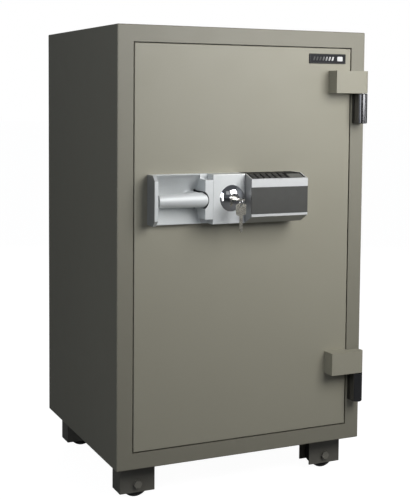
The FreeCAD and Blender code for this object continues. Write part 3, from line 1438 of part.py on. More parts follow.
def make_buttons():
    """Twelve like caps, each sliding square to the keypad's slope."""
    for number, x, across in button_places():
        body = new_body(f"button_{number:02d}")
        half = "button_size/2"
        corners = [(f"-{half}", f"-{half}"), (half, f"-{half}"), (half, half), (f"-{half}", half)]
        sketch = outline(body, f"button_{number:02d}_outline", "XY_Plane", corners, "-button_depth")
        solid = pad(body, f"button_{number:02d}_pad", sketch, "button_depth + button_rise")
        rise = value("button_rise")
        edges = edges_where(
            solid.Shape, lambda middle, direction: middle.z > rise - 0.01 or abs(direction.z) > 0.999,
        )
        softened(body, f"button_{number:02d}_edges", "Fillet", solid, edges, "button_edge")
        tilted(body)
        sub_part(
            f"button_{number:02d}", body, x=x, y=f"slope_y + ({across})*cos(slope_angle)",
            z=f"slope_z + ({across})*sin(slope_angle)",
        )


def make_display_and_board():
    """The display's window in the keypad's top, and the board that the buttons press."""
    across_x, across_y = display_span()
    window = slope_block(
        "display", (f"{across_x[0]} + display_gap", f"{across_x[1]} - display_gap"),
        (f"{across_y[0]} + display_gap", f"{across_y[1]} - display_gap"), ("-display_thickness", "0"),
    )
    sub_part("display_window", group("display_window", window))
    top = "-button_depth - button_travel - board_gap"
    board = slope_block(
        "board", ("face_left + panel_gap", "face_right - panel_gap"),
        ("-slope_length/2 + 2*keypad_wall", "slope_length/2 - keypad_wall"),
        (f"{top} - board_thickness", top),
    )
    sub_part("circuit_board", group("circuit_board", board))


# ---------------------------------------------------------------- build, check and write


def build_all():
    make_outer_shell()
    make_door_frame()
    make_body_fill()
    make_inner_liner()
    make_shelves()
    make_rollers()
    make_hinges()
    make_door_shell()
    make_door_fill()
    make_door_inner_pan()
    make_door_seal()
    make_door_inner_cover()
    make_cover_screws()
    make_fixed_bolts()
    make_badge()
    make_bolt_bar()
    make_locking_bolts()
    make_bolt_guides()
    make_solenoid()
    make_handle_housing()
    make_handle_lever()
    make_spindle_and_crank()
    make_lock_rose()
    make_lock_cylinder()
    make_lock_plug()
    make_lock_cam()
    make_lock_case()
    make_keys()
    make_keypad_housing()
    make_battery_cover()
    make_batteries()
    make_keypad_face()
    make_buttons()
    make_display_and_board()
    doc.recompute()


def check_all():
    """Stop if any object failed, or any sub-part is empty or not valid."""
    for thing in doc.Objects:
        if "Invalid" in thing.State or "Error" in thing.State:
            raise RuntimeError(f"{thing.Name} failed: {thing.State}")
    for thing in SUB_PARTS:
        if thing.Shape.isNull() or not thing.Shape.Solids or not thing.Shape.isValid():
            raise RuntimeError(f"{thing.Label} has no sound shape")


build_all()
check_all()
os.makedirs("parts", exist_ok=True)
for thing in SUB_PARTS:
    thing.Shape.exportStep(f"parts/{thing.Label}.step")
print(len(SUB_PARTS), "sub-parts written")
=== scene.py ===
import json
import math

import bmesh
import bpy
import numpy as np
from bpy.props import FloatProperty, FloatVectorProperty, IntProperty, PointerProperty
from mathutils import Matrix, Vector


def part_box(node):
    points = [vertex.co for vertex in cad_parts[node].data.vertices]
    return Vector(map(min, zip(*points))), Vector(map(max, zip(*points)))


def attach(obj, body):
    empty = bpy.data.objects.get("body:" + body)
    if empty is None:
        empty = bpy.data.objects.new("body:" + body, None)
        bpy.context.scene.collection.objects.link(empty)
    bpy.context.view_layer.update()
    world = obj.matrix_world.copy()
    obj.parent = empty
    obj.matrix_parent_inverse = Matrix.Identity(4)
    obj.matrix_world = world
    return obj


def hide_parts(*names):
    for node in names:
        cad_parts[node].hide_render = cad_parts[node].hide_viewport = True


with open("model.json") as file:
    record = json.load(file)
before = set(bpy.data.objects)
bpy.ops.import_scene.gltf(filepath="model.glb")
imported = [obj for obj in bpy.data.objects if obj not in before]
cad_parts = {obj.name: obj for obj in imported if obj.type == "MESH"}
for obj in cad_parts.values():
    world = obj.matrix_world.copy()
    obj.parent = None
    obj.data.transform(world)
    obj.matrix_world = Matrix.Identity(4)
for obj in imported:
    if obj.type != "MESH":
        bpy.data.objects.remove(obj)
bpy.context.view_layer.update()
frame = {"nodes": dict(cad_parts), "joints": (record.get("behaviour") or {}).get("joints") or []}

bl_info = {
    "name": "Fire safe",
    "version": (1, 0, 0),
    "blender": (4, 5, 0),
    "location": "3D View > Sidebar > Safe",
    "description": "Finishes and small fittings for an upright fire safe on rollers",
    "category": "Object",
}

BUTTON_SIGNS = "123456789*0#"
BUTTON_BODY = "key_{:02d}"
BUTTON_NODE = "button_{:02d}"
FACE_SKIN = 0.0005
HEAD_DEPTH = 0.0026
SCREW_CELL = 0.02
SCREW_APART = 0.01
LAMPS = (
    ("key_lamp", (0.42, -1.18, 1.19), (0.05, -0.2, 0.8), 0.85, "key"),
    ("side_lamp", (-2.1, -0.9, 1.3), (-0.3, 0.0, 0.6), 1.2, "side"),
    ("fill_lamp", (-0.7, -2.3, 2.0), (0, -0.2, 0.9), 1.0, "fill"),
    ("back_lamp", (1.0, 2.6, 1.7), (0, 0.2, 0.5), 1.5, "back"),
)
GLINTS = (("left_glint", (-1.65, -1.5, 0.6)), ("right_glint", (1.6, -0.9, 0.6)))
GLINT_TARGET = (0, -0.25, 0.6)
GLINT_WIDTH = 0.3
GLINT_HEIGHT = 2.2
ROLLERS = ("front_left", "front_right", "rear_left", "rear_right")


# ---------------------------------------------------------------- properties


def colour(name, description, red, green, blue):
    """A colour property, as light that comes back from the surface."""
    return FloatVectorProperty(
        name=name, description=description, default=(red, green, blue), subtype="COLOR", min=0, max=1, size=3,
    )


def share(name, description, default):
    """A property between nought and one."""
    return FloatProperty(name=name, description=description, default=default, min=0, max=1, subtype="FACTOR")


def length(name, description, default):
    """A property in metres."""
    return FloatProperty(name=name, description=description, default=default, min=0, unit="LENGTH")


def power(name, description, default):
    """The strength of a lamp or of another source of light."""
    return FloatProperty(name=name, description=description, default=default, min=0)


class SAFE_PG_finishes(bpy.types.PropertyGroup):
    """Colours and grains of the safe's finishes."""

    cabinet: colour("Cabinet enamel", "Sprayed enamel on the carcass and the door", 0.335, 0.319, 0.250)
    carcass_tone: share("Carcass tone", "How bright the carcass's enamel is beside the door's", 0.74)
    cabinet_rough: share("Cabinet roughness", "Roughness of the cabinet's enamel", 0.46)
    cabinet_grain: length("Cabinet grain", "Size of the enamel's orange peel", 0.0016)
    cabinet_relief: length("Cabinet relief", "Height of the enamel's orange peel", 0.00022)
    inside: colour("Inside enamel", "Enamel on the liner, the shelves and the door's back", 0.56, 0.56, 0.53)
    bracket: colour("Bracket enamel", "Enamel on the roller brackets", 0.15, 0.144, 0.122)
    casting: colour("Silver casting", "Silver lacquer on the handle's housing and lever", 0.70, 0.72, 0.72)
    casting_rough: share("Casting roughness", "Roughness of the silver lacquer", 0.42)
    # Painted shade: the width of the dark line painted round the lever's hub beyond the lever's end, standing
    # for the shade in the gap.
    lever_gap: length("Lever gap", "Width of the dark line round the lever's hub", 0.0020)
    # Painted shade: how high the darker tone painted on the keypad's underside reaches.
    keypad_underside: length("Keypad underside", "How high the keypad's duller underside reaches", 0.0150)
    moulding: colour("Silver moulding", "Silver lacquer on the keypad's housing", 0.72, 0.73, 0.73)
    charcoal: colour("Charcoal moulding", "Plastic of the battery cover", 0.066, 0.066, 0.061)
    black: colour("Black moulding", "Plastic of the keypad's face", 0.006, 0.006, 0.007)
    button: colour("Button moulding", "Plastic of the buttons", 0.018, 0.018, 0.019)
    roller: colour("Roller moulding", "Plastic of the rollers", 0.018, 0.018, 0.018)
    lens: colour("Display lens", "Window over the display", 0.03, 0.036, 0.045)
    chrome: colour("Chrome", "Plating of the lock rose", 0.78, 0.78, 0.79)
    knuckle: colour("Hinge plating", "Dark plating of the hinge knuckles", 0.13, 0.13, 0.135)
    steel: colour("Steel", "Bare and zinc-plated steel", 0.52, 0.52, 0.51)
    nickel: colour("Key nickel", "Nickel on the brass keys", 0.72, 0.69, 0.60)


class SAFE_PG_fittings(bpy.types.PropertyGroup):
    """Sizes of the small fittings that are added to the CAD pieces."""

    badge_rim: length("Badge rim", "Width of the badge's dark rim", 0.0011)
    badge_inset: length("Badge rim inset", "The rim's middle in from the badge's edge", 0.0013)
    badge_corner: length("Badge corner", "Radius of the rim's corners", 0.0016)
    badge_relief: length("Badge relief", "How far the rim and the bars stand out", 0.0007)
    badge_bars: IntProperty(name="Badge bars", description="Slanted bars on the badge", default=7, min=1)
    sign_height: length("Sign height", "Height of the signs on the buttons", 0.0062)
    sign_relief: length("Sign relief", "Thickness of the signs' ink", 0.00008)
    recess_width: length("Screw recess width", "Half the width of a screw's cross", 0.0007)
    recess_length: length("Screw recess length", "Reach of a screw's cross", 0.0031)
    recess_depth: length("Screw recess depth", "Depth of a screw's cross", 0.0013)


class SAFE_PG_studio(bpy.types.PropertyGroup):
    """Camera, lamps and floor."""

    place: FloatVectorProperty(
        name="Camera place", description="Where the camera stands", default=(-0.9994, -2.18785, 0.8382),
        subtype="TRANSLATION", unit="LENGTH", size=3,
    )
    turn: FloatVectorProperty(
        name="Camera turn", description="The camera's rotation",
        default=(1.49837192, -0.00905163, -0.43691074), subtype="EULER", unit="ROTATION", size=3,
    )
    lens: FloatProperty(name="Lens", description="Focal length in millimetres", default=76.92, min=1)
    shift: FloatVectorProperty(
        name="Lens shift", description="Shift across and up", default=(-0.02394, -0.15494), size=2,
    )
    key: power("Key lamp", "Watts of the large lamp in front", 14.5)
    fill: power("Fill lamp", "Watts of the far lamp in front", 1)
    side: power("Side lamp", "Watts of the lamp on the left", 9.5)
    back: power("Back lamp", "Watts of the lamp behind", 18)
    glint: power("Glints", "Watts of the lamps that show only in reflections", 9)
    sky: power("Sky", "Strength of the light from all round", 0.10)
    sky_colour: colour("Sky colour", "Colour of the light from all round", 0.86, 0.91, 1.0)
    floor_glow: power("Floor glow", "Light that the floor shows to the camera", 0.97)
    floor: colour("Floor", "Pale floor", 0.18, 0.18, 0.18)
    floor_size: length("Floor size", "Half the floor's width", 30.0)


def settings(name):
    """One of the scene's property groups."""
    return getattr(bpy.context.scene, "safe_" + name)


# ---------------------------------------------------------------- shaders


class Wire:
    """A shader socket whose arithmetic adds Math nodes."""

    def __init__(self, shader, socket):
        self.shader = shader
        self.socket = socket

    def maths(self, operation, first, second):
        return self.shader.node("ShaderNodeMath", {"operation": operation}, {0: first, 1: second})

    def __add__(self, other):
        return self.maths("ADD", self, other)

    def __radd__(self, other):
        return self.maths("ADD", other, self)

    def __sub__(self, other):
        return self.maths("SUBTRACT", self, other)

    def __mul__(self, other):
        return self.maths("MULTIPLY", self, other)

    def __gt__(self, other):
        return self.maths("GREATER_THAN", self, other)

    def __lt__(self, other):
        return self.maths("LESS_THAN", self, other)


class Shader:
    """The node tree of one material, with a Principled shader."""

    def __init__(self, name):
        self.material = bpy.data.materials.new(name)
        self.material.use_nodes = True
        self.tree = self.material.node_tree
        self.surface = next(node for node in self.tree.nodes if node.type == "BSDF_PRINCIPLED")

    def node(self, kind, options=None, values=None, output=0):
        """Add a node: its options first, then its socket values or links."""
        made = self.tree.nodes.new(kind)
        for key, value in (options or {}).items():
            if key == "stops":
                ramp = made.color_ramp.elements
                for element, (place, level) in zip(ramp, value):
                    element.position = place
                    element.color = (level, level, level, 1)
            else:
                setattr(made, key, value)
        for key, value in (values or {}).items():
            self.join(made.inputs[key], value)
        return Wire(self, made.outputs[output])

    def join(self, socket, value):
        """Put a value or a link into a socket."""
        if isinstance(value, Wire):
            self.tree.links.new(value.socket, socket)
        else:
            socket.default_value = value

    def place(self, stretch=(1, 1, 1), turn=(0, 0, 0)):
        """Object coordinates, stretched and turned."""
        spot = self.node("ShaderNodeTexCoord", output="Object")
        return self.node("ShaderNodeMapping", values={"Vector": spot, "Scale": stretch, "Rotation": turn})

    def along(self, axis):
        """One of the object coordinates."""
        spot = self.node("ShaderNodeTexCoord", output="Object")
        return self.node("ShaderNodeSeparateXYZ", values={"Vector": spot}, output=axis)

    def reach(self, x, z):
        """Distance from an axis along Y."""
        side, rise = self.along(0) - x, self.along(2) - z
        return self.node("ShaderNodeMath", {"operation": "SQRT"}, {0: side * side + rise * rise})

    def noise(self, size, detail=2.0, rough=0.5, stretch=(1, 1, 1)):
        """Noise between nought and one, with features of a size in metres."""
        return self.node(
            "ShaderNodeTexNoise", values={
                "Vector": self.place(stretch), "Scale": 1 / size, "Detail": detail, "Roughness": rough,
            },
        )

    def specks(self, size):
        """Random values in cells of a size in metres."""
        values = {"Vector": self.place(), "Scale": 1 / size}
        cells = self.node("ShaderNodeTexVoronoi", values=values, output="Color")
        return self.node("ShaderNodeSeparateColor", values={"Color": cells})

    def ramp(self, factor, *stops):
        """A grey ramp through (place, level) stops."""
        return self.node("ShaderNodeValToRGB", {"stops": stops}, {"Fac": factor})

    def blend(self, factor, first, second):
        """A mixture of two colours."""
        return self.node(
            "ShaderNodeMix", {"data_type": "RGBA"},
            {"Factor": factor, 6: opaque(first), 7: opaque(second)}, output=2,
        )

    def relief(self, height, distance):
        """A bump from a height, in metres."""
        return self.node("ShaderNodeBump", values={"Height": height, "Distance": distance, "Strength": 1.0})

    def dress(self, **values):
        """Set the shader's sockets by name, with spaces for underscores."""
        for key, value in values.items():
            self.join(self.surface.inputs[key.replace("_", " ")], value)
        return self.material


def opaque(value):
    """A colour with full alpha, or a wire as it is."""
    return value if isinstance(value, Wire) else (*tuple(value)[:3], 1.0)


def shade(value, factor):
    """A colour made darker or lighter."""
    return tuple(min(1.0, part * factor) for part in tuple(value)[:3])


def enamel(name, base, rough, grain, relief, mottle=0.05):
    """Sprayed enamel: fine orange peel, faint clouds and a few dull patches."""
    shader = Shader(name)
    peel = shader.noise(grain, 3.0, 0.6)
    fine = shader.noise(grain / 4, 1.0)
    cloud = shader.noise(0.35, 2.0)
    dull = shader.ramp(shader.noise(0.06, 4.0, 0.6), (0.42, 0.0), (0.72, 1.0))
    tone = shader.blend(cloud * 0.6 + peel * 0.4, shade(base, 1 - mottle), shade(base, 1 + mottle))
    tone = shader.blend(fine * 0.12, tone, shade(base, 0.6))
    return shader.dress(
        Base_Color=tone, Roughness=rough + (peel - 0.5) * 0.12 + dull * 0.05,
        Normal=shader.relief(peel * 0.8 + fine * 0.2, relief),
    )


def lacquer(name, base, rough, metal=0.45, outline=None, dark=()):
    """Silver lacquer: metal flakes over a smooth casting.

    It has painted shade: a dark line round a lever's end, given as (x, z, radius), on the right of its axis,
    for the shade in the gap round it, and a darker tone below each (axis, limit), for the shade on faces
    turned away from the lamps.
    """
    shader = Shader(name)
    flake = shader.specks(0.00035)
    cloud = shader.noise(0.03, 3.0)
    ripple = shader.noise(0.004, 2.0)
    tone = shader.blend(flake * 0.5 + cloud * 0.5, shade(base, 0.93), shade(base, 1.07))
    # Painted shade: below each limit, such as on a left face or an underside, the tone is darker.
    for axis, limit in dark:
        tone = shader.blend(shader.along(axis) < limit, tone, shade(base, 0.45))
    # Painted shade: a dark line round the lever's end, right of its axis, stands for the shade in the gap
    # round the lever.
    if outline:
        near = shader.reach(outline[0], outline[1]) < outline[2] + cloud * 0.0004
        right = shader.along(0) > outline[0] + outline[2] * 0.35
        tone = shader.blend(near * right, tone, (0.02, 0.02, 0.022))
    return shader.dress(
        Base_Color=tone, Metallic=metal, Roughness=rough + (flake - 0.5) * 0.10 + (cloud - 0.5) * 0.05,
        Normal=shader.relief(ripple, 0.00004), Coat_Weight=0.08, Coat_Roughness=0.3,
    )


def moulding(name, base, rough, grain=0.0005, relief=0.00006, gleam=0.5):
    """Moulded plastic with a spark-eroded grain, slightly polished by touch."""
    shader = Shader(name)
    bite = shader.noise(grain, 2.0, 0.6)
    touch = shader.ramp(shader.noise(0.02, 3.0), (0.40, 0.0), (0.75, 1.0))
    tone = shader.blend(bite * 0.5 + touch * 0.3, shade(base, 0.88), shade(base, 1.18))
    return shader.dress(
        Base_Color=tone, Roughness=rough + (bite - 0.5) * 0.15 - touch * 0.08,
        Normal=shader.relief(bite, relief), Specular_IOR_Level=gleam,
    )


def plating(name, base, rough=0.06):
    """Bright plating with faint smears."""
    shader = Shader(name)
    smear = shader.noise(0.012, 4.0, 0.6)
    haze = shader.noise(0.0016, 2.0)
    tone = shader.blend(smear, shade(base, 0.94), shade(base, 1.04))
    return shader.dress(
        Base_Color=tone, Metallic=1.0, Roughness=rough + smear * 0.05, Normal=shader.relief(haze, 0.000006),
    )


def rolled_steel(name, base, rough=0.30, stretch=(1, 1, 1), line=0.0006):
    """Steel with drawn or turned lines along the short side of a stretch, and dull zinc clouds."""
    shader = Shader(name)
    lines = shader.noise(line, 2.0, 0.6, stretch)
    cloud = shader.noise(0.01, 4.0, 0.65)
    tone = shader.blend(lines * 0.5 + cloud * 0.5, shade(base, 0.82), shade(base, 1.12))
    return shader.dress(
        Base_Color=tone, Metallic=1.0, Roughness=rough + (lines - 0.5) * 0.16 + (cloud - 0.5) * 0.12,
        Normal=shader.relief(lines, 0.00003),
    )


def filling(name):
    """Light concrete with sand, chips and pores."""
    shader = Shader(name)
    sand = shader.noise(0.0015, 5.0, 0.7)
    chips = shader.specks(0.006)
    pores = shader.ramp(shader.noise(0.004, 3.0), (0.28, 0.0), (0.36, 1.0))
    tone = shader.blend(sand * 0.5 + chips * 0.5, (0.42, 0.40, 0.36), (0.66, 0.64, 0.58))
    return shader.dress(
        Base_Color=shader.blend(pores, (0.25, 0.24, 0.21), tone), Roughness=0.85 + (sand - 0.5) * 0.2,
        Normal=shader.relief(sand * 0.4 + pores * 0.6, 0.0008),
    )


def seal_rubber(name):
    """Dull extruded strip with a chalky bloom."""
    shader = Shader(name)
    bloom = shader.noise(0.008, 4.0, 0.7)
    grain = shader.noise(0.0006, 2.0)
    return shader.dress(
        Base_Color=shader.blend(bloom * 0.6, (0.02, 0.02, 0.02), (0.09, 0.09, 0.088)),
        Roughness=0.72 + (bloom - 0.5) * 0.2, Normal=shader.relief(grain, 0.0001),
    )


def laminate(name):
    """Green circuit laminate with raised tracks."""
    shader = Shader(name)
    tracks = shader.node(
        "ShaderNodeTexBrick", {"offset": 0.5, "squash": 1.0},
        {
            "Vector": shader.place(), "Scale": 1.0, "Mortar Size": 0.0006, "Brick Width": 0.009,
            "Row Height": 0.0035,
        },
        output="Fac",
    )
    weave = shader.noise(0.0008, 2.0)
    tone = shader.blend(weave * 0.6, (0.01, 0.09, 0.04), (0.02, 0.16, 0.07))
    return shader.dress(
        Base_Color=shader.blend(tracks, tone, (0.06, 0.32, 0.14)), Roughness=0.35 + weave * 0.15,
        Normal=shader.relief(tracks, 0.00004),
    )


def cell_jacket(name, middle):
    """Printed cell jackets: dark wrap with a copper-coloured band at each outer end."""
    shader = Shader(name)
    spot = shader.node("ShaderNodeTexCoord", output="Object")
    across = shader.node("ShaderNodeSeparateXYZ", values={"Vector": spot})
    outward = shader.node("ShaderNodeMath", {"operation": "ABSOLUTE"}, {0: across - middle})
    scuff = shader.noise(0.003, 4.0, 0.7)
    wrap = shader.blend(scuff * 0.4, (0.02, 0.02, 0.025), (0.07, 0.07, 0.08))
    return shader.dress(
        Base_Color=shader.blend(outward > 0.036, wrap, (0.55, 0.26, 0.10)), Metallic=0.6,
        Roughness=0.28 + scuff * 0.15,
    )


def roller_moulding(name, base, axle):
    """Dark roller plastic with turned rings, scuffs and floor dust, about an axle along Y."""
    shader = Shader(name)
    rings = shader.node("ShaderNodeMath", {"operation": "SINE"}, {0: shader.reach(axle[0], axle[2]) * 7000.0})
    dust = shader.ramp(shader.noise(0.006, 5.0, 0.7), (0.45, 0.0), (0.75, 1.0))
    tone = shader.blend(dust * 0.35, shade(base, 1.0), (0.16, 0.155, 0.15))
    return shader.dress(
        Base_Color=tone, Roughness=0.42 + dust * 0.25, Normal=shader.relief(rings * 0.5 + dust, 0.00006),
    )


def lens(name, base):
    """Smooth tinted window with faint smears."""
    shader = Shader(name)
    smear = shader.noise(0.014, 4.0, 0.6)
    fleck = shader.noise(0.0009, 2.0)
    return shader.dress(
        Base_Color=shader.blend(smear, shade(base, 0.85), shade(base, 1.3)),
        Roughness=0.07 + smear * 0.07, Coat_Weight=1.0, Coat_Roughness=0.04,
        Normal=shader.relief(fleck, 0.000005),
    )


def ink(name, level):
    """Printed ink, slightly uneven."""
    shader = Shader(name)
    body = shader.noise(0.0009, 3.0, 0.6)
    return shader.dress(
        Base_Color=shader.blend(body, (level * 0.9,) * 3, (level,) * 3), Roughness=0.45 + body * 0.15,
    )


def fading(name, middle, spread):
    """Silver print that is dark to the left of a place and bright to its right."""
    shader = Shader(name)
    spot = shader.node("ShaderNodeTexCoord", output="Object")
    across = shader.node("ShaderNodeSeparateXYZ", values={"Vector": spot})
    share = (across - middle) * (1 / spread) + 0.5
    wear = shader.noise(0.002, 3.0, 0.6)
    tone = shader.ramp(share + (wear - 0.5) * 0.2, (0.0, 0.05), (1.0, 0.72))
    return shader.dress(Base_Color=tone, Roughness=0.5 + wear * 0.15)


def give(finish, *nodes):
    """Put a material on CAD nodes, or on pieces."""
    for node in nodes:
        thing = frame["nodes"][node] if isinstance(node, str) else node
        if not thing.material_slots:
            thing.data.materials.append(finish)
        for slot in thing.material_slots:
            slot.material = finish


# ---------------------------------------------------------------- surfaces


def surface(name, sheets, finish, body):
    """A piece from closed or open grids of points, each of shape (rows, columns, 3), closed along columns."""
    points, faces, start = [], [], 0
    for sheet in sheets:
        rows, columns = sheet.shape[:2]
        number = start + np.arange(rows * columns).reshape(rows, columns)
        ahead = np.roll(number, -1, axis=1)
        quads = np.stack([number[:-1], number[1:], ahead[1:], ahead[:-1]], axis=-1).reshape(-1, 4)
        points.append(sheet.reshape(-1, 3))
        faces.append(quads)
        start += rows * columns
    mesh = bpy.data.meshes.new(name)
    mesh.from_pydata(np.concatenate(points).tolist(), [], np.concatenate(faces).tolist())
    return settle(mesh, name, finish, body)


def settle(mesh, name, finish, body, smooth=True):
    """Weld a mesh, turn its faces outwards, and let it ride on a body."""
    work = bmesh.new()
    work.from_mesh(mesh)
    bmesh.ops.remove_doubles(work, verts=work.verts, dist=1e-7)
    bmesh.ops.dissolve_degenerate(work, edges=work.edges, dist=1e-8)
    bmesh.ops.recalc_face_normals(work, faces=work.faces)
    work.to_mesh(mesh)
    work.free()
    mesh.polygons.foreach_set("use_smooth", np.full(len(mesh.polygons), smooth))
    mesh.update()
    piece = bpy.data.objects.new(name, mesh)
    bpy.context.scene.collection.objects.link(piece)
    give(finish, piece)
    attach(piece, body)
    return piece


def rounded_frame(low, high, corner, turns=8):
    """Points and outward normals round a rectangle with rounded corners, in the XZ plane."""
    centre = (np.array(low) + np.array(high)) / 2
    half = (np.array(high) - np.array(low)) / 2 - corner
    angle = (np.arange(4)[:, None] + np.linspace(0, 1, turns)[None, :]) * math.pi / 2
    normal = np.stack([np.cos(angle), np.sin(angle)], axis=-1)
    sign = np.sign(normal[:, turns // 2])[:, None, :]
    return (centre + sign * half + corner * normal).reshape(-1, 2), normal.reshape(-1, 2)


def rim_sheet(low, high, corner, width, front, relief, facets=10):
    """A half-round strip carried round a rounded rectangle: out by w cos t, forward by h sin t."""
    path, normal = rounded_frame(low, high, corner)
    turn = np.linspace(0, 2 * math.pi, facets, endpoint=False)
    out = (width / 2 * np.cos(turn))[:, None, None] * normal[None, :, :]
    flat = path[None, :, :] + out
    deep = front - relief * np.sin(turn)[:, None] * np.ones(len(path))
    ring = np.stack([flat[..., 0], deep, flat[..., 1]], axis=-1)
    return np.concatenate([ring, ring[:1]])


def bar_sheet(middle, half, slant, turns=24, rows=11, square=0.3):
    """A slanted slab, a squared ellipsoid: each axis is half * sign(c)|c|^square of the usual cosines."""
    round_angle = np.linspace(0, 2 * math.pi, turns, endpoint=False)[None, :]
    tilt = np.linspace(-math.pi / 2, math.pi / 2, rows)[:, None]

    def squared(value):
        return np.sign(value) * np.abs(value) ** square

    x = half[0] * squared(np.cos(tilt)) * squared(np.cos(round_angle))
    z = half[2] * squared(np.cos(tilt)) * squared(np.sin(round_angle))
    y = half[1] * squared(np.sin(tilt)) * np.ones_like(round_angle)
    return np.stack([middle[0] + x + slant * z, middle[1] + y, middle[2] + z], axis=-1)


def screw_sheet(middle, radius, head, cross, turns=48, rows=26):
    """A pan screw head that faces +Y: a low dome over (radius, angle), with a cross sunk into it.

    The dome's height is h sqrt(1 - 0.75 r^2); the cross takes off a depth where the smaller of
    the two plane coordinates is under its width and the radius is under its reach.
    """
    width, reach, depth = cross
    angle = np.linspace(0, 2 * math.pi, turns, endpoint=False)[None, :]
    share_out = np.linspace(0, 1, rows)[:, None]
    spread = radius * share_out
    x, z = spread * np.cos(angle), spread * np.sin(angle)
    near = np.minimum(np.abs(x), np.abs(z))
    inside = np.clip((width - near) / (width * 0.4), 0, 1) * np.clip((reach - spread) / (reach * 0.25), 0, 1)
    y = head * np.sqrt(1 - 0.75 * share_out ** 2) - depth * inside
    top = np.stack([middle[0] + x, middle[1] + y, middle[2] + z], axis=-1)
    foot = top[-1:].copy()
    foot[..., 1] = middle[1]
    centre = foot * 0 + np.array(middle)
    return np.concatenate([top, foot, centre])


# ---------------------------------------------------------------- operators


class SAFE_OT_cabinet(bpy.types.Operator):
    """Enamel the carcass, the door and the hinge blocks"""

    bl_idname = "safe.cabinet"
    bl_label = "Cabinet"

    def execute(self, context):
        look = settings("finishes")
        rough, grain, relief = look.cabinet_rough, look.cabinet_grain, look.cabinet_relief
        give(enamel("door_enamel", look.cabinet, rough, grain, relief), "door_shell", "hinge_blocks")
        carcass = shade(look.cabinet, look.carcass_tone)
        give(enamel("carcass_enamel", carcass, rough, grain, relief), "outer_shell", "door_frame")
        give(filling("fire_filling"), "body_fill", "door_fill")
        return {"FINISHED"}


class SAFE_OT_interior(bpy.types.Operator):
    """Finish the liner, the shelves and the back of the door"""

    bl_idname = "safe.interior"
    bl_label = "Interior"

    def execute(self, context):
        look = settings("finishes")
        coat = enamel("inside_enamel", look.inside, 0.5, 0.0009, 0.00008, 0.03)
        give(coat, "inner_liner", "shelf_lower", "shelf_upper", "door_inner_pan", "door_inner_cover")
        give(seal_rubber("seal_rubber"), "door_seal")
        give(rolled_steel("clip_steel", look.steel), "shelf_clips")
        self.screws(look)
        return {"FINISHED"}

    def screws(self, look):
        """Cross-recessed heads in place of the plain ones, one for each solid of the CAD node."""
        size = settings("fittings")
        node = frame["nodes"]["cover_screws"]
        corners = np.empty(len(node.data.vertices) * 3)
        node.data.vertices.foreach_get("co", corners)
        corners = corners.reshape(-1, 3)
        back = corners[:, 1].max()
        rim = corners[corners[:, 1] > back - 1e-5]
        keys = np.unique(np.round(rim[:, [0, 2]] / SCREW_CELL).astype(int), axis=0)
        sheets, seen = [], []
        for key in keys:
            near = rim[(np.abs(rim[:, [0, 2]] / SCREW_CELL - key) < 1.2).all(axis=1)]
            low, high = near.min(axis=0), near.max(axis=0)
            middle = (low + high) / 2
            if any(np.hypot(*(middle[[0, 2]] - other[[0, 2]])) < SCREW_APART for other in seen):
                continue
            seen.append(middle)
            face = back - HEAD_DEPTH
            cross = (size.recess_width, size.recess_length, size.recess_depth)
            radius = (high[0] - low[0]) / 2
            sheets.append(screw_sheet((middle[0], face, middle[2]), radius, HEAD_DEPTH, cross))
        heads = surface(
            "cover_screw_heads", sheets, rolled_steel("screw_steel", look.steel, 0.25), "door",
        )
        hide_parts("cover_screws")


class SAFE_OT_rollers(bpy.types.Operator):
    """Finish the roller brackets, their bolts and the rollers"""

    bl_idname = "safe.rollers"
    bl_label = "Rollers"

    def execute(self, context):
        look = settings("finishes")
        coat = enamel("bracket_enamel", look.bracket, 0.42, 0.0012, 0.0001, 0.12)
        give(coat, "foot_brackets")
        bolt_coat = enamel("bolt_enamel", shade(look.bracket, 1.5), 0.36, 0.0012, 0.0001, 0.12)
        give(bolt_coat, "axle_bolts", "axle_nuts")
        for corner in ROLLERS:
            low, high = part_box(f"wheel_{corner}")
            axle = (np.array(low) + np.array(high)) / 2
            give(roller_moulding(f"roller_plastic_{corner}", look.roller, axle), f"wheel_{corner}")
        return {"FINISHED"}


class SAFE_OT_hinges(bpy.types.Operator):
    """Plate the hinge knuckles"""

    bl_idname = "safe.hinges"
    bl_label = "Hinges"

    def execute(self, context):
        look = settings("finishes")
        give(plating("knuckle_chrome", look.knuckle, 0.12), "hinge_knuckles")
        give(rolled_steel("pin_steel", look.steel, 0.25, (1, 1, 12)), "hinge_pins")
        return {"FINISHED"}


class SAFE_OT_handle(bpy.types.Operator):
    """Finish the handle's housing, lever, spindle and crank"""

    bl_idname = "safe.handle"
    bl_label = "Handle"

    def execute(self, context):
        look = settings("finishes")
        turn = next(joint for joint in frame["joints"] if joint["name"] == "handle_turn")
        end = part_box("handle_lever")[1][0]
        x, z = turn["pos_m"][0], turn["pos_m"][2]
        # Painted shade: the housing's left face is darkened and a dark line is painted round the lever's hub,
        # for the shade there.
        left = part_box("handle_housing")[0][0] + FACE_SKIN
        hub = (x, z, end - x + look.lever_gap)
        finish = lacquer("housing_lacquer", look.casting, look.casting_rough, outline=hub, dark=[(0, left)])
        give(finish, "handle_housing")
        give(lacquer("lever_lacquer", look.casting, look.casting_rough + 0.1, 0.2), "handle_lever")
        give(rolled_steel("spindle_steel", look.steel), "handle_spindle", "handle_crank")
        return {"FINISHED"}


class SAFE_OT_lock(bpy.types.Operator):
    """Finish the lock, its cam and its keys"""

    bl_idname = "safe.lock"
    bl_label = "Key lock"

    def execute(self, context):
        look = settings("finishes")
        give(plating("rose_chrome", look.chrome, 0.05), "lock_rose")
        give(plating("cylinder_nickel", shade(look.chrome, 0.8), 0.16), "lock_cylinder", "lock_plug")
        give(rolled_steel("case_zinc", look.steel, 0.38), "lock_case", "lock_cam")
        give(rolled_steel("key_nickel", look.nickel, 0.27, (1, 1, 6), 0.0008), "key", "spare_key")
        give(plating("ring_steel", shade(look.steel, 1.2), 0.16), "key_ring")
        return {"FINISHED"}


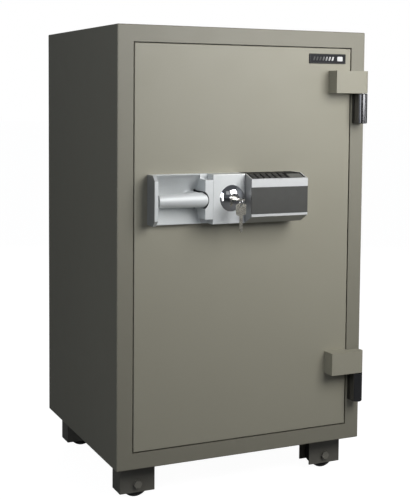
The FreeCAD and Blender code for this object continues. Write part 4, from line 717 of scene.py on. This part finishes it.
class SAFE_OT_bolt_work(bpy.types.Operator):
    """Finish the bolts, their bar and guides, and the solenoid"""

    bl_idname = "safe.bolt_work"
    bl_label = "Bolt work"

    def execute(self, context):
        look = settings("finishes")
        give(rolled_steel("bolt_steel", look.steel, 0.2, (10, 1, 1)), "locking_bolts", "fixed_bolts")
        give(rolled_steel("bar_zinc", shade(look.steel, 0.95), 0.36, (1, 1, 8)), "bolt_bar", "bolt_guides")
        give(rolled_steel("plunger_steel", look.steel, 0.22), "solenoid_plunger")
        give(enamel("coil_enamel", (0.03, 0.03, 0.034), 0.4, 0.001, 0.00005, 0.1), "solenoid")
        return {"FINISHED"}


class SAFE_OT_keypad(bpy.types.Operator):
    """Finish the keypad, print its buttons' signs and finish its cells"""

    bl_idname = "safe.keypad"
    bl_label = "Keypad"

    def execute(self, context):
        look = settings("finishes")
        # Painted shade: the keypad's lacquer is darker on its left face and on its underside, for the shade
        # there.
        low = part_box("keypad_housing")[0]
        painted_shade_faces = [(0, low[0] + FACE_SKIN), (2, low[2] + look.keypad_underside)]
        give(lacquer("keypad_lacquer", look.moulding, 0.38, dark=painted_shade_faces), "keypad_housing")
        give(moulding("charcoal_plastic", look.charcoal, 0.44), "battery_cover")
        give(moulding("black_plastic", look.black, 0.62, 0.0006, 0.00003, 0.15), "keypad_face")
        caps = moulding("button_plastic", look.button, 0.38, 0.0004, 0.00003)
        give(caps, *(BUTTON_NODE.format(number) for number in range(1, len(BUTTON_SIGNS) + 1)))
        give(lens("display_lens", look.lens), "display_window")
        give(laminate("circuit_laminate"), "circuit_board")
        low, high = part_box("batteries")
        give(cell_jacket("cell_jacket", (low[0] + high[0]) / 2), "batteries")
        self.signs()
        return {"FINISHED"}

    def signs(self):
        """A printed sign on each button, lying on its sloping top."""
        size = settings("fittings")
        print_ink = ink("sign_ink", 0.72)
        press = next(joint for joint in frame["joints"] if joint["child"] == BUTTON_BODY.format(1))
        normal = -Vector(press["axis"])
        across = Vector((1, 0, 0))
        up = normal.cross(across)
        for number, sign in enumerate(BUTTON_SIGNS, start=1):
            low, high = (Vector(corner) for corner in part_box(BUTTON_NODE.format(number)))
            half = (high - low) / 2
            rise = (half.z - half.x * abs(up.z)) / abs(normal.z)
            centre = (low + high) / 2 + normal * (rise + size.sign_relief * 0.9)
            words = bpy.data.curves.new(f"sign_{number:02d}", "FONT")
            words.body = sign
            words.size = size.sign_height * 1.35
            words.extrude = size.sign_relief
            words.align_x = "CENTER"
            words.align_y = "CENTER"
            holder = bpy.data.objects.new(words.name, words)
            mesh = bpy.data.meshes.new_from_object(holder)
            bpy.data.objects.remove(holder)
            turn = Matrix((across, up, normal)).transposed().to_4x4()
            mesh.transform(Matrix.Translation(centre) @ turn)
            mesh.materials.clear()
            settle(mesh, f"sign_{number:02d}", print_ink, BUTTON_BODY.format(number), False)


class SAFE_OT_badge(bpy.types.Operator):
    """Finish the badge and raise its rim and plain bars"""

    bl_idname = "safe.badge"
    bl_label = "Badge"

    def execute(self, context):
        size = settings("fittings")
        look = settings("finishes")
        give(moulding("badge_black", (0.016, 0.016, 0.019), 0.6, 0.0004, 0.00002, 0.2), "badge_plate")
        low, high = (np.array(corner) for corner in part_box("badge_plate"))
        silver = fading("badge_silver", low[0] + (high[0] - low[0]) * 0.5, (high[0] - low[0]) * 0.3)
        inset = size.badge_inset
        face = low[1] + size.badge_relief * 0.1
        rim = rim_sheet(
            low[[0, 2]] + inset, high[[0, 2]] - inset, size.badge_corner, size.badge_rim, face,
            size.badge_relief,
        )
        edge = moulding("badge_edge", shade(look.charcoal, 0.8), 0.5)
        surface("badge_rim", [rim], edge, "door")
        reach, rise = high[0] - low[0], high[2] - low[2]
        step = reach * 0.085
        half = np.array([step * 0.26, size.badge_relief, rise * 0.2])
        bars = []
        for number in range(size.badge_bars):
            middle = (low + high) / 2
            middle[0] = low[0] + reach * 0.13 + number * step
            middle[1] = face
            bars.append(bar_sheet(middle, half, 0.3))
        panel = (low + high) / 2
        panel[0] = high[0] - reach * 0.16
        panel[1] = face
        bars.append(bar_sheet(panel, np.array([reach * 0.075, size.badge_relief, rise * 0.24]), 0.0))
        surface("badge_bars", bars, silver, "door")
        return {"FINISHED"}


class SAFE_OT_stage(bpy.types.Operator):
    """Set out the floor, the lamps, the sky and the camera"""

    bl_idname = "safe.stage"
    bl_label = "Stage"

    def execute(self, context):
        studio = settings("studio")
        self.floor(studio)
        self.sky(studio)
        lamps = {
            name: self.lamp(name, place, target, size, getattr(studio, power))
            for name, place, target, size, power in LAMPS
        }
        lamps["side_lamp"].data.color = studio.sky_colour
        for name, place in GLINTS:
            glint = self.lamp(name, place, GLINT_TARGET, GLINT_WIDTH, studio.glint)
            glint.data.shape = "RECTANGLE"
            glint.data.size_y = GLINT_HEIGHT
            glint.visible_diffuse = False
        camera = bpy.data.cameras.new("camera")
        camera.lens = studio.lens
        camera.shift_x, camera.shift_y = studio.shift
        holder = bpy.data.objects.new("camera", camera)
        holder.location = studio.place
        holder.rotation_euler = studio.turn
        context.scene.collection.objects.link(holder)
        context.scene.camera = holder
        context.scene.view_settings.view_transform = "Standard"
        return {"FINISHED"}

    def floor(self, studio):
        """A flat pale sheet under the rollers."""
        half = studio.floor_size
        mesh = bpy.data.meshes.new("floor")
        corners = [(-half, -half, 0), (half, -half, 0), (half, half, 0), (-half, half, 0)]
        mesh.from_pydata(corners, [], [(0, 1, 2, 3)])
        sheet = bpy.data.objects.new("floor", mesh)
        bpy.context.scene.collection.objects.link(sheet)
        shader = Shader("floor_paper")
        tone = shader.blend(shader.noise(0.5, 2.0), shade(studio.floor, 0.985), studio.floor)
        path = shader.node("ShaderNodeLightPath", output="Is Camera Ray")
        shader.dress(Base_Color=tone, Roughness=0.9, Emission_Color=(1, 1, 1, 1))
        give(shader.dress(Emission_Strength=path * studio.floor_glow), sheet)

    def sky(self, studio):
        """Plain white behind, and dimmer light from all round."""
        world = bpy.data.worlds.new("sky")
        world.use_nodes = True
        bpy.context.scene.world = world
        tree = world.node_tree
        back = next(node for node in tree.nodes if node.type == "BACKGROUND")
        path = tree.nodes.new("ShaderNodeLightPath")
        seen = tree.nodes.new("ShaderNodeMix")
        seen.data_type = "RGBA"
        seen.inputs[6].default_value = opaque(shade(studio.sky_colour, studio.sky))
        seen.inputs[7].default_value = (1, 1, 1, 1)
        tree.links.new(path.outputs["Is Camera Ray"], seen.inputs["Factor"])
        tree.links.new(seen.outputs[2], back.inputs["Color"])

    def lamp(self, name, place, target, size, power):
        """A square soft lamp that faces a point."""
        light = bpy.data.lights.new(name, "AREA")
        light.size = size
        light.energy = power
        holder = bpy.data.objects.new(name, light)
        holder.location = place
        holder.rotation_euler = (Vector(target) - Vector(place)).to_track_quat("-Z", "Y").to_euler()
        bpy.context.scene.collection.objects.link(holder)
        return holder


OPERATORS = (
    SAFE_OT_cabinet, SAFE_OT_interior, SAFE_OT_rollers, SAFE_OT_hinges, SAFE_OT_handle, SAFE_OT_lock,
    SAFE_OT_bolt_work, SAFE_OT_keypad, SAFE_OT_badge, SAFE_OT_stage,
)
GROUPS = {"finishes": SAFE_PG_finishes, "fittings": SAFE_PG_fittings, "studio": SAFE_PG_studio}


class SAFE_PT_panel(bpy.types.Panel):
    """The safe's pieces, finishes and sizes"""

    bl_idname = "SAFE_PT_panel"
    bl_label = "Fire safe"
    bl_space_type = "VIEW_3D"
    bl_region_type = "UI"
    bl_category = "Safe"

    def draw(self, context):
        for operator in OPERATORS:
            self.layout.operator(operator.bl_idname)
        for name, group in GROUPS.items():
            box = self.layout.box()
            for key in group.__annotations__:
                box.prop(getattr(context.scene, "safe_" + name), key)


def register():
    for kind in (*GROUPS.values(), *OPERATORS, SAFE_PT_panel):
        bpy.utils.register_class(kind)
    for name, group in GROUPS.items():
        setattr(bpy.types.Scene, "safe_" + name, PointerProperty(type=group))


def unregister():
    for name in GROUPS:
        delattr(bpy.types.Scene, "safe_" + name)
    for kind in reversed((*GROUPS.values(), *OPERATORS, SAFE_PT_panel)):
        bpy.utils.unregister_class(kind)


def main():
    """Make every piece in order."""
    register()
    for operator in OPERATORS:
        group, name = operator.bl_idname.split(".")
        getattr(getattr(bpy.ops, group), name)()


if __name__ == "__main__":
    main()
